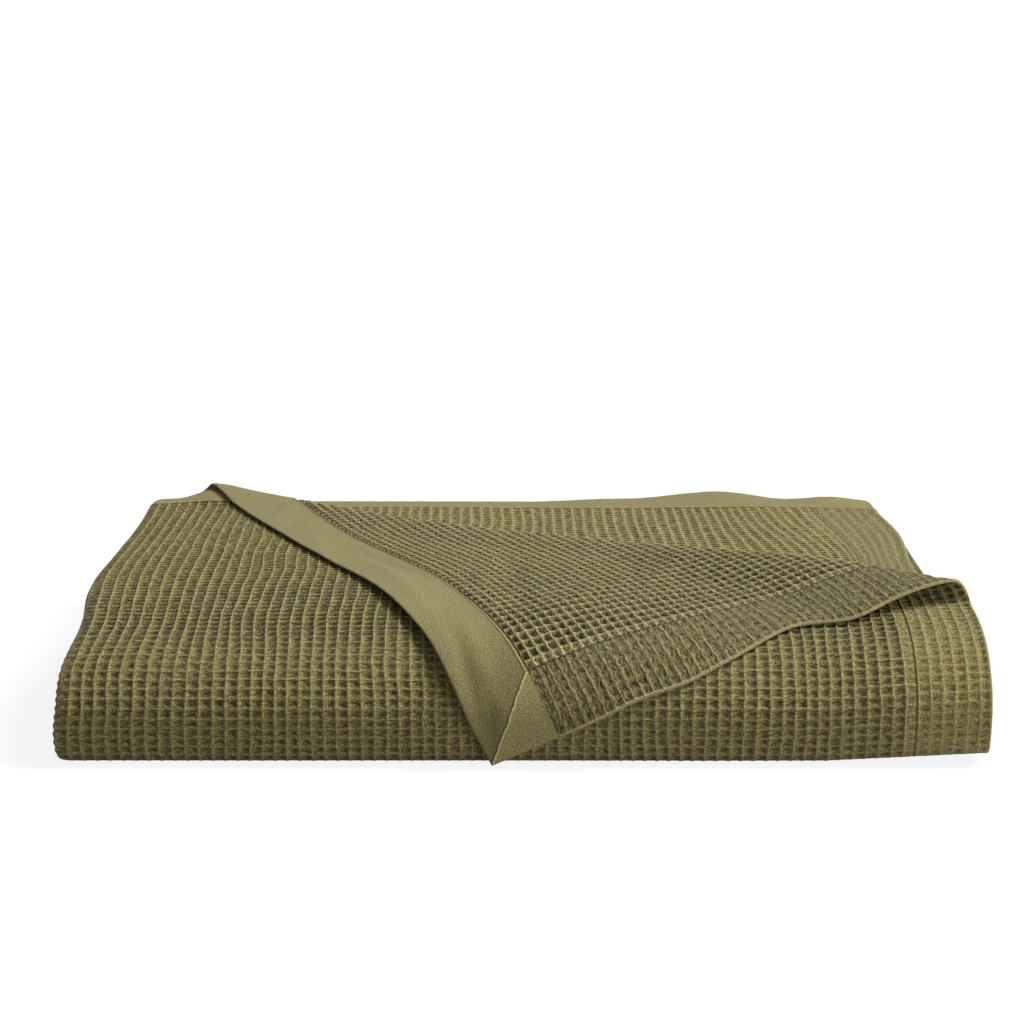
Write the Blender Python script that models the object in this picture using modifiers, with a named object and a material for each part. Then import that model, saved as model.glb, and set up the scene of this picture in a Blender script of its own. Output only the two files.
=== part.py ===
"""Cotton waffle blanket, folded into a pad with one top corner turned over, as one closed sheet.

The cloth is first folded in four across its width, then in six along its length. The back right corner
of its top ply is turned over a slanting fold, so that its tip hangs down the front to the floor. Metres,
+Z up, the front face towards -Y, resting on z = 0 with its box centred on x = y = 0.
"""

import math

import bmesh
import bpy
import numpy as np

# ---------------------------------------------------------------- driving sizes, metres
SHEET = 0.0024            # thickness of the waffle cloth
PLY = 0.00365             # one ply to the next in a folded strip
PLY_AT_CORNER = 0.0027    # the same where the strip turns hard on the floor
STRIP = 4.0 * PLY         # one folded strip to the next
CORNER_RADIUS = 0.0108    # bottom front corner, middle of the outer ply
SKIN = 0.0015             # extra room between the outer wrap and the folds inside it

RIGHT_EDGE = 0.3175       # free edge of the top ply
RIGHT_EDGE_UNDER = 0.2960  # free edge of the second ply
RIGHT_FOLD = 0.3010       # fold between the third and fourth ply
LEFT_FOLD = -0.2985       # outer fold at the left end
LEFT_FOLD_UNDER = -0.2905  # the fold inside it

TOP_LENGTH = 0.4820       # top ply, from the floor at the front to its end at the back
UNDER_SHORT = 0.0120      # how much sooner the second ply ends
BACK_LOW = 0.3920         # centres of the back folds, from the front face
BACK_HIGH = 0.3740
BACK_END = 0.3900         # end of the cloth in the middle of the pad
NOSE_HIGH = 0.1040        # centre of the innermost front fold

# slope of the outer ply, by length up the front from the bottom corner
# (length, slope in degrees)
FRONT_SLOPE = (
    (0.000, 100.0),
    (0.009, 96.0),
    (0.018, 91.0),
    (0.026, 82.0),
    (0.034, 66.5),
    (0.041, 58.0),
    (0.049, 52.0),
    (0.061, 40.5),
    (0.074, 28.0),
    (0.087, 20.0),
    (0.100, 14.0),
    (0.120, 8.5),
    (0.145, 5.0),
    (0.180, 2.8),
    (0.210, 0.8),
    (0.240, 0.0),
    (0.418, 0.0),
    (0.445, -9.0),
    (0.4725, -16.0),
)

# the turned-over corner, in unrolled sizes of the top ply: x, length up from the floor
FOLD_BACK = (-0.2554, 0.4820)
FOLD_FRONT = (0.3175, 0.1500)
CORNER_TIP = (-0.0146, 0.0024)
# radius of the soft roll along the fold, from its back end to its front end
# (share of the fold, radius)
FOLD_ROLL = (
    (0.00, 0.0026),
    (0.60, 0.0030),
    (1.00, 0.0090),
)
TURNED = 0.0043           # top ply to the turned corner lying on it, middle to middle
SETTLE = 0.030            # how far from the roll the turned corner settles on the top
HANG_START = 0.0190       # below this length up the front the turned corner hangs straight down

# where the turned corner and the fold slide towards the front, so that the fold is bowed
# (x, length up, half width in x, half width in length, slide up the front)
FOLD_BOWS = (
    (-0.0850, 0.3500, 0.110, 0.100, -0.0300),
    (0.2300, 0.1950, 0.050, 0.040, 0.0060),
)
BOW_REACH = 0.090         # the top ply itself slides only this near to the fold

# soft rises of the top ply and of the second ply at the back and near the fold
# (x, length up, half width in x, half width in length, height)
TOP_RISES = (
    (-0.2450, 0.4860, 0.030, 0.034, 0.0085),
    (-0.1650, 0.4700, 0.045, 0.030, 0.0025),
    (-0.1300, 0.1650, 0.060, 0.040, 0.0020),
    (-0.2200, 0.2900, 0.050, 0.050, 0.0016),
    (0.0600, 0.1200, 0.050, 0.030, 0.0014),
    (-0.1500, 0.0450, 0.060, 0.026, 0.0024),
    (0.1300, 0.0400, 0.060, 0.026, 0.0028),
    (0.2700, 0.0900, 0.040, 0.030, 0.0018),
    (-0.2700, 0.0750, 0.030, 0.026, 0.0016),
)
UNDER_RISES = (
    (0.1720, 0.4720, 0.040, 0.026, 0.0085),
    (0.0900, 0.4600, 0.040, 0.020, 0.0030),
    (0.2650, 0.4600, 0.024, 0.022, 0.0050),
    (0.2300, 0.3300, 0.060, 0.060, 0.0020),
)

# uneven left end: how far it is out, by depth from the front and by height
# (depth, height, half depth, half height, sideways move)
LEFT_BUMPS = (
    (0.000, 0.020, 0.050, 0.026, -0.0062),
    (0.018, 0.062, 0.030, 0.014, -0.0030),
    (0.060, 0.080, 0.034, 0.020, 0.0042),
    (0.150, 0.088, 0.045, 0.024, -0.0022),
    (0.240, 0.045, 0.060, 0.018, -0.0040),
    (0.330, 0.075, 0.050, 0.020, 0.0030),
    (0.390, 0.030, 0.040, 0.022, -0.0045),
)
# lines across the pad that all its plies share; between them it rises and dips evenly
SHARED_LINES = (-0.2930, -0.1700, -0.0400, 0.0900, 0.2100, 0.3000)
SHARED_DEPTHS = (0.0000, 0.1000, 0.1900, 0.2800, 0.3700, 0.4500)
# soft rises and dips of the whole pad
# (x, depth, half width, half depth, height at the top)
PAD_RISES = (
    (-0.2950, 0.300, 0.060, 0.110, -0.0040),
    (-0.1200, 0.230, 0.110, 0.070, 0.0022),
    (0.0700, 0.330, 0.080, 0.060, -0.0018),
    (0.2000, 0.120, 0.070, 0.060, 0.0026),
    (0.3050, 0.280, 0.040, 0.120, -0.0040),
    (-0.1800, 0.090, 0.060, 0.035, -0.0020),
    (0.0400, 0.060, 0.070, 0.030, 0.0018),
)
LIFT_START = 0.2100       # the right front end starts to lift off the floor here
LIFT_HEIGHT = 0.0060
LIFT_DEPTH = 0.1000

PATH_STEP = 0.0005        # step of the fold path
# extra mesh lines up and down the top ply, and the bare part of the second ply, by x
TOP_COLUMNS = (0.295, 0.265, 0.235, 0.170, 0.130, 0.047, 0.003, -0.083, -0.127, -0.210, -0.240, -0.268)
UNDER_COLUMNS = (0.130, 0.170, 0.250, 0.275)
# extra mesh lines beside the slanting fold, in shares of half its roll
ROLL_LINES = (-1.0, -0.4, 0.4, 1.0, 2.5, 5.0)
# extra mesh lines where the turned corner bends over the front, by length up the outer ply
BEND_LINES = (0.012, 0.019, 0.026, 0.034, 0.044, 0.056, 0.068, 0.081, 0.096, 0.120, 0.155)


# ---------------------------------------------------------------- small functions
def ease(value):
    """Smooth step of an array between 0 and 1."""
    held = np.clip(value, 0.0, 1.0)
    return held * held * (3.0 - 2.0 * held)


def bell(offset, half_width):
    """Soft bell, 1 in the middle and 0 beyond twice its half width."""
    return 1.0 - ease(np.abs(offset) / (2.0 * half_width))


def rises(table, across, along):
    """Sum of the soft bells of a table of x, length, two half widths and height."""
    total = np.zeros_like(across)
    for centre_across, centre_along, half_across, half_along, height in table:
        total += height * bell(across - centre_across, half_across) * bell(along - centre_along, half_along)
    return total


def even_rises(table, across, along):
    """The same sum, with straight runs between the lines that all plies share."""
    lines = np.array(SHARED_LINES)
    depths = np.array(SHARED_DEPTHS)
    total = np.zeros_like(across)
    for centre_across, centre_along, half_across, half_along, height in table:
        at_lines = np.interp(across, lines, bell(lines - centre_across, half_across))
        at_depths = np.interp(along, depths, bell(depths - centre_along, half_along))
        total += height * at_lines * at_depths
    return total


def spread(start, end, count):
    """Even steps after start up to end, without start."""
    return list(np.linspace(start, end, count + 1)[1:])


# ---------------------------------------------------------------- the fold path of a strip
class FoldPath:
    """Middle of a four-ply strip in the (depth, height) plane, with its outward side and its ply step."""

    def __init__(self):
        """Lay the path from the back end of the top panel round to the end in the middle of the pad."""
        self.points = []
        self.headings = []
        self.plies = []
        self.lengths = []
        self.length = 0.0
        self.build_outer_wrap()
        self.build_inner_folds()
        self.pack()

    def add(self, point, heading, ply, step=None):
        """Add one point of the strip's middle; in the wrap the step is that of the outer ply."""
        if self.points:
            last = self.points[-1]
            moved = math.hypot(point[0] - last[0], point[1] - last[1])
            self.length += moved if step is None else step
        self.points.append(point)
        self.lengths.append(self.length)
        self.headings.append(heading)
        self.plies.append(ply)

    def build_outer_wrap(self):
        """Outer ply from the floor up the front and over the top, then turned into the strip's middle."""
        table = np.array(FRONT_SLOPE)
        steps = int(round(table[-1, 0] / PATH_STEP))
        rise = np.linspace(0.0, table[-1, 0], steps + 1)
        slope = np.radians(np.interp(rise, table[:, 0], table[:, 1]))
        start_turn = math.radians(180.0 - table[0, 1])
        start_depth = -CORNER_RADIUS * math.sin(start_turn)
        start_height = SHEET / 2.0 + CORNER_RADIUS * (1.0 - math.cos(start_turn))
        middle_slope = 0.5 * (slope[1:] + slope[:-1])
        depth = start_depth + np.concatenate(([0.0], np.cumsum(np.cos(middle_slope)) * PATH_STEP))
        height = start_height + np.concatenate(([0.0], np.cumsum(np.sin(middle_slope)) * PATH_STEP))
        self.wrap_shift = -float(depth.min()) + SHEET / 2.0
        depth = depth + self.wrap_shift
        self.wrap_rise = rise
        self.wrap_slope = slope
        self.wrap_depth = depth
        self.wrap_height = height
        self.top_height = float(height[rise < 0.40].max())
        self.arc = CORNER_RADIUS * start_turn
        self.wrap_end = float(rise[-1])
        tight = ease((rise - 0.004) / 0.026)
        ply = PLY_AT_CORNER + (PLY - PLY_AT_CORNER) * tight
        for index in range(steps, -1, -1):
            back = 1.5 * ply[index]
            middle = (
                depth[index] + back * math.sin(slope[index]),
                height[index] - back * math.cos(slope[index]),
            )
            self.add(middle, math.pi + slope[index], ply[index], PATH_STEP)
        arc_steps = 24
        centre = (self.wrap_shift, SHEET / 2.0 + CORNER_RADIUS)
        for index in range(1, arc_steps + 1):
            turn = start_turn * (1.0 - index / arc_steps)
            out = CORNER_RADIUS - 1.5 * PLY_AT_CORNER
            middle = (centre[0] - out * math.sin(turn), centre[1] - out * math.cos(turn))
            self.add(middle, 2.0 * math.pi - turn, PLY_AT_CORNER, self.arc / arc_steps)
        self.corner_end = centre[0]
        settle_steps = 80
        for index in range(1, settle_steps + 1):
            away = index * PATH_STEP
            ply_here = PLY_AT_CORNER + (PLY - PLY_AT_CORNER) * float(ease(np.array(away / 0.036)))
            height_here = SHEET / 2.0 + 1.5 * ply_here
            self.add((self.corner_end + away, height_here), 2.0 * math.pi, ply_here)

    def straight(self, depth, height, heading, ply=PLY):
        """Run straight to a depth and height."""
        last = self.points[-1]
        span = math.hypot(depth - last[0], height - last[1])
        steps = max(1, int(round(span / PATH_STEP)))
        for index in range(1, steps + 1):
            share = index / steps
            point = (last[0] + (depth - last[0]) * share, last[1] + (height - last[1]) * share)
            self.add(point, heading, ply)

    def nose(self, centre, radius, start, end):
        """Turn round a centre; start and end are headings in radians."""
        sign = 1.0 if end > start else -1.0
        steps = max(12, int(abs(end - start) * radius / PATH_STEP))
        first = self.length
        for index in range(1, steps + 1):
            heading = start + (end - start) * index / steps
            out = (math.sin(heading) * sign * radius, -math.cos(heading) * sign * radius)
            self.add((centre[0] + out[0], centre[1] + out[1]), heading, PLY)
        return first

    def build_inner_folds(self):
        """The five panels inside the wrap, with two folds at the back and two at the front."""
        base = SHEET / 2.0 + 1.5 * PLY
        height_1 = base + STRIP
        height_2 = base + 2.0 * STRIP
        height_top = self.top_height - 5.5 * PLY - SKIN
        height_3 = height_top - STRIP - SKIN
        turn = math.pi
        self.marks = {}
        self.marks["floor"] = self.length
        self.straight(BACK_LOW, base, 2.0 * turn)
        self.marks["back_low"] = self.length
        self.nose((BACK_LOW, base + STRIP / 2.0), STRIP / 2.0, 2.0 * turn, 3.0 * turn)
        self.marks["back_low_end"] = self.length
        # front fold inside the wrap: it follows the inside of the wrap from a steep slope up
        inward = 5.5 * PLY + SKIN
        slope = self.wrap_slope
        depth = self.wrap_depth + inward * np.sin(slope)
        height = self.wrap_height - inward * np.cos(slope)
        radius = STRIP / 2.0
        wanted = height - radius * np.cos(slope) - (height_1 + radius)
        first = int(np.argmax((wanted > 0.0) & (self.wrap_rise > 0.012)))
        centre = (depth[first] + radius * math.sin(slope[first]), height_1 + radius)
        self.straight(centre[0], height_1, 3.0 * turn)
        self.marks["nose_low"] = self.length
        self.nose(centre, radius, 3.0 * turn, 2.0 * turn + slope[first])
        self.marks["nose_low_end"] = self.length
        last = int(np.searchsorted(self.wrap_rise, 0.300))
        for index in range(first + 1, last):
            self.add((depth[index], height[index]), 2.0 * turn + slope[index], PLY)
        self.marks["shoulder_low_end"] = self.length
        self.straight(BACK_HIGH, height_top, 2.0 * turn)
        self.marks["back_high"] = self.length
        radius_back = 0.5 * (height_top - height_3)
        self.nose((BACK_HIGH, height_top - radius_back), radius_back, 2.0 * turn, turn)
        self.marks["back_high_end"] = self.length
        # innermost fold: it follows the wrap down a little way only
        inward = 9.5 * PLY + 2.0 * SKIN
        depth = self.wrap_depth + inward * np.sin(slope)
        height = self.wrap_height - inward * np.cos(slope)
        last = int(np.searchsorted(self.wrap_rise, 0.300))
        first = int(np.argmax(depth > NOSE_HIGH))
        self.straight(depth[last], height[last], turn)
        self.marks["shoulder_high"] = self.length
        for index in range(last - 1, first, -1):
            self.add((depth[index], height[index]), turn + slope[index], PLY)
        self.marks["nose_high"] = self.length
        here = self.points[-1]
        start = turn + slope[first + 1]
        radius_high = (here[1] - height_2) / (1.0 + math.cos(slope[first + 1]))
        centre = (here[0] + radius_high * math.sin(slope[first + 1]), height_2 + radius_high)
        self.nose(centre, radius_high, start, 2.0 * turn)
        self.marks["nose_high_end"] = self.length
        self.straight(BACK_END, height_2, 2.0 * turn)
        self.marks["end"] = self.length

    def pack(self):
        """Turn the lists into arrays over the length along the path."""
        points = np.array(self.points)
        self.along = np.array(self.lengths)
        self.depths = points[:, 0]
        self.heights = points[:, 1]
        self.heading = np.array(self.headings)
        self.ply = np.array(self.plies)

    def place(self, along, inward_plies, lift):
        """Depth and height of points of the strip.

        Args: along, length on the path; inward_plies, plies in from the outer ply; lift, metres outward.
        """
        depth = np.interp(along, self.along, self.depths)
        height = np.interp(along, self.along, self.heights)
        heading = np.interp(along, self.along, self.heading)
        ply = np.interp(along, self.along, self.ply)
        out = (1.5 - inward_plies) * ply + lift
        # the outward side is a quarter turn clockwise of the heading in the (depth, height) plane
        return depth + out * np.sin(heading), height - out * np.cos(heading)


# ---------------------------------------------------------------- the cloth
class FoldedCloth:
    """Maps the flat cloth, in lengths across and along, to the folded pad."""

    def __init__(self):
        """Work out the fold path and the lengths of the plies across the cloth."""
        self.path = FoldPath()
        self.left_outer = LEFT_FOLD + 1.5 * PLY
        self.left_under = LEFT_FOLD_UNDER + 0.5 * PLY
        self.right_centre = RIGHT_FOLD - 0.5 * PLY
        outer_arc = math.pi * 1.5 * PLY
        small_arc = math.pi * 0.5 * PLY
        lengths = (
            RIGHT_EDGE - self.left_outer,
            outer_arc,
            self.right_centre - self.left_outer,
            small_arc,
            self.right_centre - self.left_under,
            small_arc,
            RIGHT_EDGE_UNDER - self.left_under,
        )
        self.edges = np.concatenate(([0.0], np.cumsum(lengths)))
        # length up the front at the bottom corner, where the outer ply's slope table starts
        self.corner_up = TOP_LENGTH - self.path.wrap_end

    def across_lines(self):
        """Lengths across the cloth where its mesh has a line."""
        edges = self.edges
        shared = [line for line in SHARED_LINES if -0.28 < line < 0.28]
        lines = [0.0]
        lines += [RIGHT_EDGE - line for line in reversed(shared)]
        lines.append(edges[1])
        lines += spread(edges[1], edges[2], 5)
        lines += [edges[2] + line - self.left_outer for line in shared]
        lines.append(edges[3])
        lines += spread(edges[3], edges[4], 3)
        lines += [edges[4] + self.right_centre - line for line in reversed(shared)]
        lines.append(edges[5])
        lines += spread(edges[5], edges[6], 3)
        lines += [edges[6] + line - self.left_under for line in shared]
        lines.append(edges[7])
        return np.array(lines)

    def along_lines(self):
        """Lengths along the strip where its mesh has a line."""
        marks = self.path.marks
        corner = self.path.wrap_end
        lines = [0.0, 0.012, 0.030, 0.052]
        lines += self.at_depths(lines[-1], corner - 0.150)
        lines += [corner - row[0] for row in reversed(FRONT_SLOPE) if row[0] < 0.090]
        lines += [self.at_depths(corner - 0.150, corner - 0.087)[0], corner - 0.120]
        lines += spread(corner, corner + self.path.arc, 4)
        lines += [corner + self.path.arc + 0.014, corner + self.path.arc + 0.034]
        lines += self.at_depths(marks["floor"], marks["back_low"])
        lines.append(marks["back_low"])
        lines += spread(marks["back_low"], marks["back_low_end"], 5)
        lines += self.at_depths(marks["back_low_end"], marks["nose_low"])
        lines.append(marks["nose_low"])
        lines += spread(marks["nose_low"], marks["nose_low_end"], 4)
        lines += spread(marks["nose_low_end"], marks["nose_low_end"] + 0.060, 3)
        lines += self.at_depths(marks["nose_low_end"], marks["back_high"])
        lines.append(marks["back_high"])
        lines += spread(marks["back_high"], marks["back_high_end"], 5)
        lines += self.at_depths(marks["back_high_end"], marks["nose_high"])
        lines.append(marks["nose_high"])
        lines += spread(marks["nose_high"], marks["nose_high_end"], 5)
        lines += self.at_depths(marks["nose_high_end"], marks["end"])
        lines.append(marks["end"])
        ordered = sorted(lines)
        kept = [ordered[0]]
        for line in ordered[1:]:
            if line - kept[-1] > 0.002:
                kept.append(line)
        return np.array(kept)

    def at_depths(self, start, end):
        """Lengths along the strip between two marks where it crosses the depths that all panels share."""
        path = self.path
        found = []
        inside = (path.along >= start) & (path.along <= end)
        along = path.along[inside]
        depths = path.depths[inside]
        for depth in SHARED_DEPTHS:
            if depths.min() < depth < depths.max():
                found.append(float(along[int(np.argmin(np.abs(depths - depth)))]))
        return found

    def place(self, across, along):
        """Positions of cloth points, in depth order (x, depth, height).

        Args: across, length across the cloth from the top ply's free edge; along, length on the strip's path.
        """
        edges = self.edges
        side, plies = self.cross_section(across)
        short = UNDER_SHORT * ease((across - edges[2]) / (edges[7] - edges[2]))
        fade = 1.0 - ease(along / 0.200)
        path_along = along + short * fade
        on_top = across <= edges[1] + 1e-9
        in_wrap = path_along <= self.path.wrap_end + 0.02
        length_up = TOP_LENGTH - path_along
        lift = np.zeros_like(across)
        # rises of the second ply, only where the top ply has been turned away from it
        fold_distance = self.fold_distance(side, length_up)
        second = (across >= edges[6] - 1e-9) & in_wrap
        bare = ease(fold_distance / 0.035)
        lift += np.where(second, rises(UNDER_RISES, side, length_up) * bare, 0.0)
        top_lift = rises(TOP_RISES, side, length_up)
        top_lift *= ease((side - (LEFT_FOLD + 0.012)) / 0.040)
        lift += np.where(on_top & in_wrap, top_lift, 0.0)
        near = 1.0 - ease(np.abs(fold_distance) / BOW_REACH)
        bow = np.where(on_top & in_wrap, rises(FOLD_BOWS, side, length_up) * near, 0.0)
        depth, height = self.path.place(path_along - bow, plies, lift)
        turned = on_top & in_wrap
        turn_side, turn_depth, turn_height, rolled = self.turn_over(side, length_up)
        use = turned & rolled
        side = np.where(use, turn_side, side)
        depth = np.where(use, turn_depth, depth)
        height = np.where(use, turn_height, height)
        return self.soften(side, depth, height)

    def cross_section(self, across):
        """x of a point across the folded strip, and how many plies in from the outer ply it lies."""
        edges = self.edges
        side = np.zeros_like(across)
        plies = np.zeros_like(across)
        part = np.clip(np.searchsorted(edges, across, side="right") - 1, 0, 6)
        away = across - edges[part]
        span = (edges[1:] - edges[:-1])[part]
        turn = math.pi * away / span
        rows = (
            (RIGHT_EDGE - away, np.zeros_like(away)),
            (self.left_outer - 1.5 * PLY * np.sin(turn), 1.5 - 1.5 * np.cos(turn)),
            (self.left_outer + away, np.full_like(away, 3.0)),
            (self.right_centre + 0.5 * PLY * np.sin(turn), 2.5 + 0.5 * np.cos(turn)),
            (self.right_centre - away, np.full_like(away, 2.0)),
            (self.left_under - 0.5 * PLY * np.sin(turn), 1.5 + 0.5 * np.cos(turn)),
            (self.left_under + away, np.full_like(away, 1.0)),
        )
        for index, (row_side, row_plies) in enumerate(rows):
            here = part == index
            side = np.where(here, row_side, side)
            plies = np.where(here, row_plies, plies)
        return side, plies

    def fold_frame(self):
        """Unit direction along the slanting fold, its outward normal and its length."""
        back = np.array(FOLD_BACK)
        front = np.array(FOLD_FRONT)
        span = front - back
        length = float(np.hypot(span[0], span[1]))
        along = span / length
        outward = np.array([-along[1], along[0]])
        if outward @ (np.array([RIGHT_EDGE, TOP_LENGTH]) - back) < 0.0:
            outward = -outward
        return back, along, outward, length

    def fold_distance(self, side, length_up):
        """Distance beyond the slanting fold, towards the turned corner."""
        back, along, outward, length = self.fold_frame()
        return (side - back[0]) * outward[0] + (length_up - back[1]) * outward[1]

    def turn_factors(self):
        """How far a point slides along the fold and falls behind it, for each metre beyond the fold."""
        back, along, outward, length = self.fold_frame()
        corner = np.array([RIGHT_EDGE, TOP_LENGTH]) - back
        tip = np.array(CORNER_TIP) - back
        corner_distance = float(corner @ outward)
        slide = float(tip @ along - corner @ along) / corner_distance
        return slide, float(tip @ outward) / corner_distance

    def turn_over(self, side, length_up):
        """Place the turned corner of the top ply: a soft roll at the fold, then flat on the top."""
        back, along, outward, length = self.fold_frame()
        away_side = side - back[0]
        away_length = length_up - back[1]
        distance = away_side * outward[0] + away_length * outward[1]
        share_length = away_side * along[0] + away_length * along[1]
        slide, fall = self.turn_factors()
        table = np.array(FOLD_ROLL)
        radius = np.interp(share_length / length, table[:, 0], table[:, 1])
        half_roll = radius * math.pi / 2.0
        rolled = distance > -half_roll
        angle = np.clip((distance + half_roll) / radius, 0.0, math.pi)
        past = np.maximum(distance - half_roll, 0.0)
        on_roll = distance < half_roll
        out_flat = -half_roll + radius * np.sin(angle)
        over = np.where(on_roll, out_flat, fall * past - half_roll)
        slid = share_length + slide * past
        roll_rise = radius * (1.0 - np.cos(angle))
        settled = TURNED + (2.0 * radius - TURNED) * (1.0 - ease(past / (SETTLE + 6.0 * radius)))
        lift = np.where(on_roll, roll_rise, settled)
        new_side = back[0] + slid * along[0] + over * outward[0]
        new_length = back[1] + slid * along[1] + over * outward[1]
        new_length = new_length + rises(FOLD_BOWS, new_side, new_length)
        base = rises(TOP_RISES, new_side, new_length)
        base *= ease((new_side - (LEFT_FOLD + 0.012)) / 0.040)
        depth, height = self.hang(new_length, lift + base)
        return new_side, depth, height, rolled

    def hang(self, length_up, lift):
        """Depth and height of a point on or over the top ply; low down it hangs straight to the floor."""
        path = self.path
        rise = length_up - self.corner_up
        low = np.minimum(rise - HANG_START, 0.0)
        held = np.maximum(rise, HANG_START)
        beyond = np.maximum(held - path.wrap_end, 0.0)
        slope = np.interp(held, path.wrap_rise, path.wrap_slope)
        depth = np.interp(held, path.wrap_rise, path.wrap_depth) + beyond * np.cos(slope)
        height = np.interp(held, path.wrap_rise, path.wrap_height) + beyond * np.sin(slope)
        depth = depth - lift * np.sin(slope)
        height = height + lift * np.cos(slope) + low
        return depth, height

    def soften(self, side, depth, height):
        """Uneven rises, dips and ends of the whole pad; even along each ply, so that no plies meet."""
        # nothing moves the ply on the floor, so that the underside stays flat
        share = np.clip((height - SHEET) / (self.path.top_height - SHEET), 0.0, 1.3)
        new_height = height + even_rises(PAD_RISES, side, depth) * share
        lift = np.clip((side - LIFT_START) / (RIGHT_EDGE - LIFT_START), 0.0, 1.0)
        new_height = new_height + LIFT_HEIGHT * lift * np.clip(1.0 - depth / LIFT_DEPTH, 0.0, 1.0)
        left = ease((-side - 0.18) / 0.11)
        new_side = side + rises(LEFT_BUMPS, depth, height) * left
        return new_side, depth, new_height


# ---------------------------------------------------------------- building
def new_collection(name, hidden=False):
    """Collection in the scene."""
    made = bpy.data.collections.new(name)
    bpy.context.scene.collection.children.link(made)
    made.hide_render = hidden
    return made


def cloth_material():
    """Olive cotton, plain and rough."""
    made = bpy.data.materials.new("olive_cotton")
    made.use_nodes = True
    shader = made.node_tree.nodes["Principled BSDF"]
    shader.inputs["Base Color"].default_value = (0.165, 0.140, 0.060, 1.0)
    shader.inputs["Roughness"].default_value = 0.92
    shader.inputs["Metallic"].default_value = 0.0
    made.diffuse_color = (0.165, 0.140, 0.060, 1.0)
    return made


def cut_flat(mesh, start, end, keep):
    """Cut one straight line into some faces of the flat cloth.

    Args: start, end, two flat (across, along) points on the line; keep, tells from the middle of a face
    (across, along) whether it is cut.
    """
    faces = []
    for face in mesh.faces:
        centre = face.calc_center_median()
        if keep(centre.x, centre.y):
            faces.append(face)
    sides = list({side for face in faces for side in face.edges})
    corners = list({corner for face in faces for corner in face.verts})
    plane = (start[0], start[1], 0.0)
    normal = (start[1] - end[1], end[0] - start[0], 0.0)
    bmesh.ops.bisect_plane(mesh, geom=faces + sides + corners, dist=2e-5, plane_co=plane, plane_no=normal)


def cut_extra_columns(mesh, cloth):
    """More lines up and down the top ply, and the bare part of the second ply, than the hidden plies have."""
    edges = cloth.edges
    for line in TOP_COLUMNS:
        across = RIGHT_EDGE - line
        cut_flat(
            mesh, (across, 0.0), (across, 1.0), lambda x, y: x < edges[1] and y < cloth.path.wrap_end
        )
    for line in UNDER_COLUMNS:
        across = edges[6] + line - cloth.left_under
        cut_flat(mesh, (across, 0.0), (across, 1.0), lambda x, y: x > edges[6] and y < 0.20)


def cut_turned_corner(mesh, cloth):
    """Cut lines beside the slanting fold, and lines where the turned corner bends over the front."""
    back, direction, outward, length = cloth.fold_frame()

    def flat(point):
        """Flat (across, along) of a point in x and length up."""
        return RIGHT_EDGE - point[0], TOP_LENGTH - point[1]

    def in_top(across, along):
        """Whether a flat point is in the top ply."""
        return across < cloth.edges[1] and along < cloth.path.wrap_end

    for first, last in zip(FOLD_ROLL[:-1], FOLD_ROLL[1:]):
        for share in ROLL_LINES:
            # the line runs at this share of half a roll from the fold, at each of its two ends
            half = share * math.pi / 2.0
            start = back + direction * length * first[0] + outward * half * first[1]
            end = back + direction * length * last[0] + outward * half * last[1]

            def beside(across, along):
                """Whether a flat point lies along this piece of the fold."""
                place = np.array([RIGHT_EDGE - across, TOP_LENGTH - along]) - back
                here = float(place @ direction) / length
                return in_top(across, along) and first[0] - 0.02 < here < last[0] + 0.02

            cut_flat(mesh, flat(start), flat(end), beside)
    slide, fall = cloth.turn_factors()
    for rise in BEND_LINES:
        points = []
        for share_length in (0.0, length):
            # distance beyond the fold at which the turned corner comes to this length up the front
            level = rise + cloth.corner_up - back[1]
            distance = (level - share_length * direction[1]) / (slide * direction[1] + fall * outward[1])
            points.append(flat(back + direction * share_length + outward * distance))

        def beyond(across, along):
            """Whether a flat point is in the turned corner."""
            return in_top(across, along) and cloth.fold_distance(*flat((across, along))) > 0.004

        cut_flat(mesh, points[0], points[1], beyond)


def build_blanket():
    """The whole blanket as one sheet."""
    cloth = FoldedCloth()
    across_lines = cloth.across_lines()
    along_lines = cloth.along_lines()
    mesh = bmesh.new()
    across_count = len(across_lines) - 1
    along_count = len(along_lines) - 1
    bmesh.ops.create_grid(mesh, x_segments=across_count, y_segments=along_count, size=1.0)
    for corner in mesh.verts:
        column = (corner.co.x + 1.0) / 2.0 * across_count
        row = (corner.co.y + 1.0) / 2.0 * along_count
        corner.co.x = float(np.interp(column, np.arange(across_count + 1), across_lines))
        corner.co.y = float(np.interp(row, np.arange(along_count + 1), along_lines))
    cut_extra_columns(mesh, cloth)
    cut_turned_corner(mesh, cloth)
    mesh.verts.ensure_lookup_table()
    flat = np.array([(corner.co.x, corner.co.y) for corner in mesh.verts])
    side, depth, height = cloth.place(flat[:, 0], flat[:, 1])
    for corner, x, y, z in zip(mesh.verts, side, depth, height):
        corner.co = (x, y, z)
    bmesh.ops.triangulate(mesh, faces=mesh.faces, quad_method="SHORT_EDGE")
    data = bpy.data.meshes.new("blanket")
    mesh.to_mesh(data)
    mesh.free()
    made = bpy.data.objects.new("blanket", data)
    made.data.materials.append(cloth_material())
    thick = made.modifiers.new("sheet", "SOLIDIFY")
    thick.thickness = SHEET
    thick.offset = 0.0
    thick.use_rim = True
    thick.use_even_offset = False
    return made


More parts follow.
